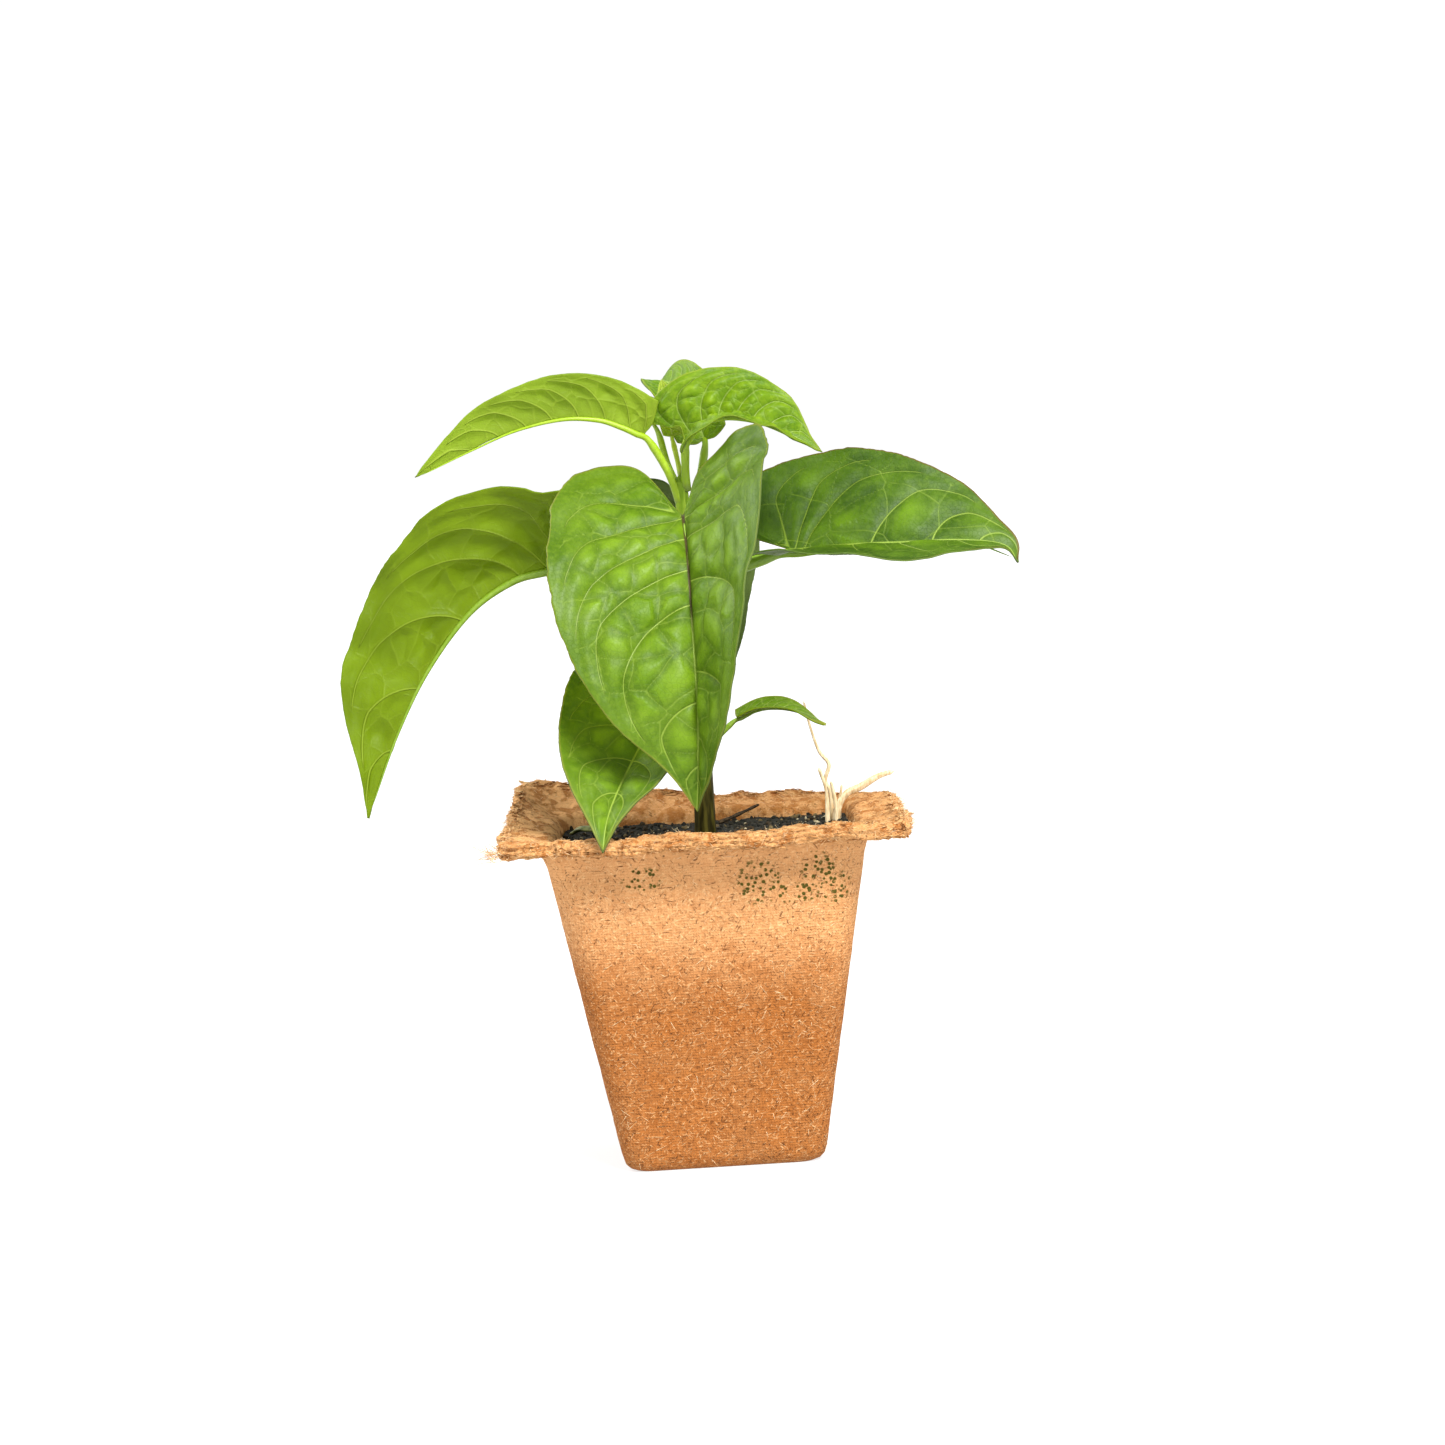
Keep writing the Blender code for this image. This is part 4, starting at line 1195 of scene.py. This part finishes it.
def scatterStrands(name, strandsList):
    # strandsList holds (start, heading, length, radius, bend)
    made, coords, shape = copies(name, newMesh("strand", tubeRings(3, 6)), len(strandsList))
    share = shape[:, 2] + 0.5
    for k, (start, heading, length, radius, bend) in enumerate(strandsList):
        heading = np.asarray(heading) / np.linalg.norm(heading)
        side = np.cross(heading, (0.31, 0.2, 0.93))
        side /= np.linalg.norm(side)
        other = np.cross(heading, side)
        spine = np.asarray(start) + heading * (share * length)[:, None]
        spine = spine + (np.asarray(bend) * length) * (share**2)[:, None]
        thin = radius * np.interp(share, [0, 0.7, 1], [1, 0.8, 0.25])
        coords[k] = spine + (side * shape[:, :1] + other * shape[:, 1:2]) * thin[:, None]
    setCoords(made.data, coords.reshape(-1, 3))
    return made


def potSurface(shell):
    # points and normals of the shell's faces, to lay strands on
    mesh = shell.data
    centres = np.empty(len(mesh.polygons) * 3)
    normals = np.empty(len(mesh.polygons) * 3)
    mesh.polygons.foreach_get("center", centres)
    mesh.polygons.foreach_get("normal", normals)
    return centres.reshape(-1, 3), normals.reshape(-1, 3)


def makeEdgeStrands(draw, centres):
    half = np.maximum(np.abs(centres[:, 0]), np.abs(centres[:, 1]))
    edge = np.flatnonzero((half > (rim - 2) * mm) & (centres[:, 2] > pot["height"] - 9 * mm))
    found = []
    for _ in range(strands["edge"]):
        k = edge[draw.randrange(len(edge))]
        away = centres[k] * (1, 1, 0)
        away = away / np.linalg.norm(away)
        heading = away * draw.uniform(0.1, 0.8)
        heading = heading + np.array([draw.gauss(0, 0.7), draw.gauss(0, 0.7), draw.gauss(0, 0.25)])
        bend = [draw.gauss(0, 0.35), draw.gauss(0, 0.35), draw.gauss(-0.1, 0.3)]
        long = draw.uniform(0.6, 2.0) * mm * (1 + 0.8 * (draw.random() > 0.95))
        found.append((centres[k] - away * 0.3 * mm, heading, long, draw.uniform(0.025, 0.07) * mm, bend))
    corner = np.array([-rim - 2, 3.5 - rim, pot["height"] / mm - 2.5]) * mm
    for _ in range(strands["tuft"]):
        start = corner + np.array([draw.uniform(0, 4), draw.uniform(-2, 3), draw.uniform(-1, 1.2)]) * mm
        heading = np.array([-1.0, -0.2 + draw.gauss(0, 0.3), 0.35 + draw.gauss(0, 0.3)])
        long, thick = draw.uniform(1.5, 4.5) * mm, draw.uniform(0.04, 0.11) * mm
        found.append((start, heading, long, thick, [draw.gauss(0, 0.3), 0, draw.gauss(0.1, 0.3)]))
    return scatterStrands("edgeFibres", found)


def makeWallStrands(draw, centres, normals):
    half = np.maximum(np.abs(centres[:, 0]), np.abs(centres[:, 1]))
    outside = (half > wallHalf(centres[:, 2]) - 0.8 * mm) & (centres[:, 2] > 2 * mm)
    face = np.flatnonzero(outside | (centres[:, 2] > pot["height"] - 2 * mm))
    found = []
    for _ in range(strands["face"]):
        k = face[draw.randrange(len(face))]
        normal = normals[k]
        tangent = np.cross(normal, (draw.gauss(0, 1), draw.gauss(0, 1), draw.gauss(0, 1)))
        tangent = tangent / (np.linalg.norm(tangent) + 1e-9)
        heading = tangent + normal * draw.uniform(-0.01, 0.05)
        thick, long = draw.uniform(0.025, 0.075) * mm, draw.uniform(0.8, 3.2) * mm
        found.append((centres[k] + normal * 0.01 * mm, heading, long, thick, normal * -0.04))
    return scatterStrands("wallFibres", found)


def makeShreds(draw, centres):
    # flat torn bits, each a flattened ball with a ragged outline
    bm = bmesh.new()
    bmesh.ops.create_uvsphere(bm, u_segments=9, v_segments=4, radius=1)
    made, coords, shape = copies("flangeShreds", newMesh("shred", bm), strands["shreds"])
    half = np.maximum(np.abs(centres[:, 0]), np.abs(centres[:, 1]))
    edge = np.flatnonzero((half > (rim - 3) * mm) & (centres[:, 2] > pot["height"] - 8 * mm))
    tint = np.empty((strands["shreds"], len(shape)), np.float32)
    for k in range(strands["shreds"]):
        at = centres[edge[draw.randrange(len(edge))]]
        onX = abs(at[0]) > abs(at[1])
        away = np.array([np.sign(at[0]), 0, 0]) if onX else np.array([0, np.sign(at[1]), 0])
        along = np.array([-away[1], away[0], 0]) + away * draw.gauss(0, 0.35)
        along = along + np.array([0, 0, draw.gauss(0, 0.16)])
        along /= np.linalg.norm(along)
        up = np.array([0, 0, 1.0]) + away * draw.gauss(0.2, 0.35)
        across = np.cross(up, along)
        across /= np.linalg.norm(across)
        up = np.cross(along, across)
        size = np.array([draw.uniform(0.5, 2.2), draw.uniform(0.2, 0.7), draw.uniform(0.05, 0.13)]) * mm
        seed = Vector((1.7 * k, 0.3 * k, 0))
        ragged = 1 + 0.5 * np.array([noise.noise(Vector((p[0], p[1], 0)) * 2.2 + seed) for p in shape])
        local = shape * size * ragged[:, None]
        local[:, 2] += 0.25 * local[:, 0] ** 2 / mm * draw.uniform(-0.4, 0.4)
        coords[k] = at - away * 0.4 * mm + local[:, :1] * along + local[:, 1:2] * across + local[:, 2:] * up
        tint[k] = draw.random()
    setCoords(made.data, coords.reshape(-1, 3))
    keep(made.data, "tint", tint)
    return made


def fibreFinish(name, tinted):
    finish = Finish(name, roughness=0.85)
    finish.set("Specular IOR Level", 0.15)
    tone = finish.cloud(1.6 * mm, 3.0)
    if tinted:
        tint = finish.kept("tint")
        stops = [(0.0, (0.26, 0.11, 0.03)), (0.3, (0.46, 0.22, 0.075))]
        stops += [(0.7, (0.62, 0.35, 0.14)), (1.0, (0.78, 0.52, 0.27))]
        colour = finish.add("ValToRGB", {"stops": stops}, {"Fac": tint * 0.7 + tone * 0.4 - 0.05}, "Color")
    else:
        colour = finish.fade(tone, 0.35, 0.65, (0.55, 0.29, 0.11), (0.92, 0.70, 0.42))
    finish.set("Base Color", colour)
    grain = finish.cloud(0.3 * mm, 3.0)
    finish.set("Normal", finish.bump(grain, 0.12 * mm))
    return finish.material


def makeStrands(shell):
    draw = random.Random(11)
    centres, normals = potSurface(shell)
    fibre = fibreFinish("looseFibre", False)
    for made in (makeEdgeStrands(draw, centres), makeWallStrands(draw, centres, normals)):
        settle(made, "wood_fibre", "fibre_pot", fibre)
    settle(makeShreds(draw, centres), "wood_fibre", "fibre_pot", fibreFinish("tornFibre", True))
    print("loose fibres made")


def makePot():
    shell = makePotShell()
    settle(shell, "wood_fibre", "fibre_pot", potFinish())
    print("pot shell", len(shell.data.polygons), "faces")
    makeStrands(shell)


# soil

soil = {
    "half": (wall - soilGap) * mm,
    "corner": 5.2 * mm,
    "around": 300,
    "out": 90,
    "depth": 6 * mm,
    "crumbs": 2100,
    "crumbSize": (0.35, 1.5),  # mm
}


def soilHeight(x, y):
    points = np.stack([x, y, np.zeros(len(x))], -1)
    hills = 0.55 * lumps(points, 14 * mm, 3) + 0.5 * lumps(points, 4.5 * mm, 5)
    hills = hills + 0.35 * lumps(points, 1.8 * mm, 6)
    bank = 0.5 * np.clip((np.hypot(x, y) - 30 * mm) / (10 * mm), 0, 1)
    return soilTop + (hills + bank - 0.2) * mm


def makeSoilBed():
    made = newObject("soilBed", tubeRings(soil["around"], soil["out"]))
    coords = coordsOf(made.data)
    place = np.clip(coords[:, 2] + 0.5, 0, 1)
    turnShare = (np.arctan2(coords[:, 1], coords[:, 0]) / (2 * math.pi)) % 1
    # from the middle of the underside out, up the side and back in over the top
    share = np.interp(place, [0, 0.10, 0.16, 1.0], [0.01, 1.0, 1.0, 0.004])
    drop = np.interp(place, [0, 0.10, 0.16, 1.0], [1, 1, 0, 0])
    half = soil["half"] * share
    x, y = squarePoints(half, np.minimum(soil["corner"] * share + 0.02 * mm, half * 0.98), turnShare)
    top = soilHeight(x, y)
    setCoords(made.data, np.stack([x, y, top * (1 - drop) + (soilTop - soil["depth"]) * drop], -1))
    return made


def makeCrumbs():
    draw = random.Random(4)
    bm = bmesh.new()
    bmesh.ops.create_icosphere(bm, subdivisions=2, radius=1)
    count = soil["crumbs"]
    made, coords, shape = copies("soilCrumbs", newMesh("crumb", bm), count)
    tint = np.empty((count, len(shape)), np.float32)
    low, high = soil["crumbSize"]
    reach = soil["half"] - 0.7 * mm
    xs, ys = (np.array([draw.uniform(-1, 1) * reach for _ in range(count)]) for _ in range(2))
    heights = soilHeight(xs, ys)
    for k in range(count):
        size = low + (high - low) * draw.random() ** 3
        stretch = np.array([draw.uniform(0.6, 1.7), draw.uniform(0.6, 1.3), draw.uniform(0.45, 1.0)])
        seed = Vector((k * 1.37, 0.7 * k, 0))
        bent = shape * (1 + 0.45 * np.array([noise.noise(Vector(p) * 1.3 + seed) for p in shape]))[:, None]
        turned = draw.uniform(0, 6.3)
        axis = Vector((draw.gauss(0, 1), draw.gauss(0, 1), draw.gauss(0, 1)))
        turn = np.array(Matrix.Rotation(turned, 3, axis))
        coords[k] = (bent * stretch * size * mm * 0.5) @ turn.T + (xs[k], ys[k], heights[k] + 0.15 * size * mm)
        tint[k] = draw.random()
    setCoords(made.data, coords.reshape(-1, 3))
    keep(made.data, "tint", tint)
    return made


def soilFinish(name, tinted):
    finish = Finish(name, roughness=0.95)
    finish.set("Specular IOR Level", 0.25)
    grain = finish.cloud(0.8 * mm, 5.0, rough=0.7)
    colour = finish.fade(grain, 0.35, 0.7, (0.004, 0.005, 0.004), (0.040, 0.036, 0.022))
    if tinted:
        tint = finish.kept("tint")
        colour = finish.fade(tint, 0.60, 0.64, colour, (0.045, 0.030, 0.014))
        colour = finish.fade(tint, 0.86, 0.88, colour, (0.16, 0.115, 0.05))
        colour = finish.fade(tint, 0.955, 0.96, colour, (0.50, 0.42, 0.26))
        colour = finish.blend(finish.smooth(grain, 0.4, 0.9) * 0.3, colour, (0.01, 0.01, 0.008))
    else:
        dots = finish.cells(1.3 * mm, Randomness=1.0)
        colour = finish.blend((1 - finish.smooth(dots, 0.08, 0.2)) * 0.5, colour, (0.12, 0.09, 0.045))
    finish.set("Base Color", colour)
    finish.set("Normal", finish.bump(grain, 0.6 * mm))
    return finish.material


def makeSoil():
    settle(makeSoilBed(), "soil", "potting_soil", soilFinish("soilEarth", False))
    settle(makeCrumbs(), "soil", "potting_soil", soilFinish("soilGrains", True))
    print("soil with", soil["crumbs"], "crumbs")


# dry stalks, twig and seed leaf

# points in mm from the stem's foot, then the thickness at the foot and at the end
litter = {
    "dry_stalk_bent": (
        [
            (wall - 4, 15, -8), (wall - 3, 15, 2), (wall - 0.6, 15, 6.6),
            (wall + 3.4, 15, 8.4), (wall + 8, 15, 10.8), (wall + 12, 15, 11.8),
        ],
        0.9, 0.5,
    ),
    "dry_stalk_curly": (
        [
            (wall - 4.8, 17.5, -7), (wall - 4.2, 17.5, 6), (wall - 5.4, 17, 10.5), (wall - 4.3, 16.5, 14.5),
            (wall - 6.6, 16.5, 18), (wall - 8.4, 16, 24), (wall - 9.8, 15.5, 31),
        ],
        0.5, 0.25,
    ),
    "dry_stalk_left": (
        [(wall - 6, 14, -7), (wall - 5.4, 14, 4), (wall - 5.6, 14, 9), (wall - 7, 14, 14)],
        0.55, 0.3,
    ),
    "dry_stalk_middle": (
        [(wall - 3.8, 12.2, -7), (wall - 3.2, 12.3, 2), (wall - 3.6, 12.5, 7), (wall - 4.2, 12.5, 10.5)],
        0.6, 0.3,
    ),
    "dry_stalk_short": ([(wall - 2.8, 18.8, -7), (wall - 2.2, 18.7, 3), (wall - 1.3, 18.5, 9)], 0.5, 0.25),
    "dry_stalk_leaning": (
        [(wall - 4.2, 21, -7), (wall - 2.7, 21.5, 2), (wall + 0.4, 22, 6.6), (wall + 3.9, 22.5, 8.2)],
        0.6, 0.3,
    ),
    "twig": ([(3.5, 14, 1.6), (7, 15, 2.7), (11, 16, 4.2), (14, 17, 5.4)], 0.4, 0.25),
}


def strawFinish():
    finish = Finish("dryStraw", roughness=0.7)
    along = finish.turned(scale=(1, 1, 0.2))
    streak = finish.cloud(0.5 * mm, 3.0, along)
    patch = finish.cloud(3 * mm, 2.0)
    colour = finish.fade(streak, 0.3, 0.7, (0.56, 0.40, 0.20), (0.84, 0.70, 0.45))
    colour = finish.blend(finish.smooth(patch, 0.58, 0.78) * 0.5, colour, (0.50, 0.30, 0.11))
    finish.set("Base Color", colour)
    finish.set("Normal", finish.bump(streak, 0.04 * mm))
    return finish.material


def twigFinish():
    finish = Finish("twigBark", roughness=0.8)
    finish.set("Specular IOR Level", 0.1)
    streak = finish.cloud(0.6 * mm, 3.0)
    colour = finish.fade(streak, 0.3, 0.7, (0.008, 0.006, 0.004), (0.06, 0.04, 0.02))
    finish.set("Base Color", colour)
    finish.set("Normal", finish.bump(streak, 0.12 * mm))
    return finish.material


def makeLitter():
    straw, bark = strawFinish(), twigFinish()
    for k, (node, (points, thick, thin)) in enumerate(litter.items()):
        route = Route(fromSoil(points))

        def thickness(share, angle, seed=k, thick=thick, thin=thin):
            body = thick + (thin - thick) * share
            ribs = 1 + 0.10 * np.cos(4 * angle + seed + 2 * share) + 0.05 * np.cos(9 * angle + 5 * share)
            knots = 1 + 0.12 * np.sin(share * (11 + seed) + seed)
            end = np.sqrt(np.clip((1 - share) / 0.03, 0.02, 1))
            return 1.25 * body * ribs * knots * end * mm

        made = makeTube(nameOf(node), route, thickness, 14, 70, (0.1, 1, 0.05))
        settle(made, "dry_straw", node, bark if node == "twig" else straw)


def makeSeedLeaf():
    points = [(2.6 - wall, 8, 1.6), (5.6 - wall, 6, 3.4), (8.6 - wall, 4, 3.0), (10.6 - wall, 3, 1.7)]
    arch = Route(fromSoil(points))
    bm = bmesh.new()
    bmesh.ops.create_grid(bm, x_segments=16, y_segments=40, size=0.5)
    made = newObject("seedLeaf", bm)
    grid = coordsOf(made.data)
    edge, share = 2 * grid[:, 0], grid[:, 1] + 0.5
    wide = 2.2 * mm * np.sin(math.pi * (0.04 + 0.94 * share))
    right = unit(np.cross(arch.tangent(share * arch.length), (0, 0, 1)))
    where = arch.point(share * arch.length) + right * (wide * edge)[:, None]
    where[:, 2] -= 0.35 * wide * edge**2 + 0.12 * mm * lumps(where, 1.5 * mm, 2)
    setCoords(made.data, where)
    skin = made.modifiers.new("skin", "SOLIDIFY")
    skin.thickness = 0.5 * mm
    skin.offset = 0.0
    finish = Finish("seedLeafSkin", roughness=0.5)
    patch = finish.cloud(1.5 * mm, 3.0)
    colour = finish.fade(patch, 0.35, 0.65, (0.06, 0.09, 0.015), (0.30, 0.33, 0.10))
    finish.set("Base Color", colour)
    finish.set("Normal", finish.bump(patch, 0.1 * mm))
    settle(made, "young_leaf_green", "seed_leaf", finish.material)


makeCamera()
makeFloor()
makeLights()
print("studio made")
makeLeaves()
makeStem()
makePot()
makeSoil()
makeLitter()
makeSeedLeaf()
print("litter made")
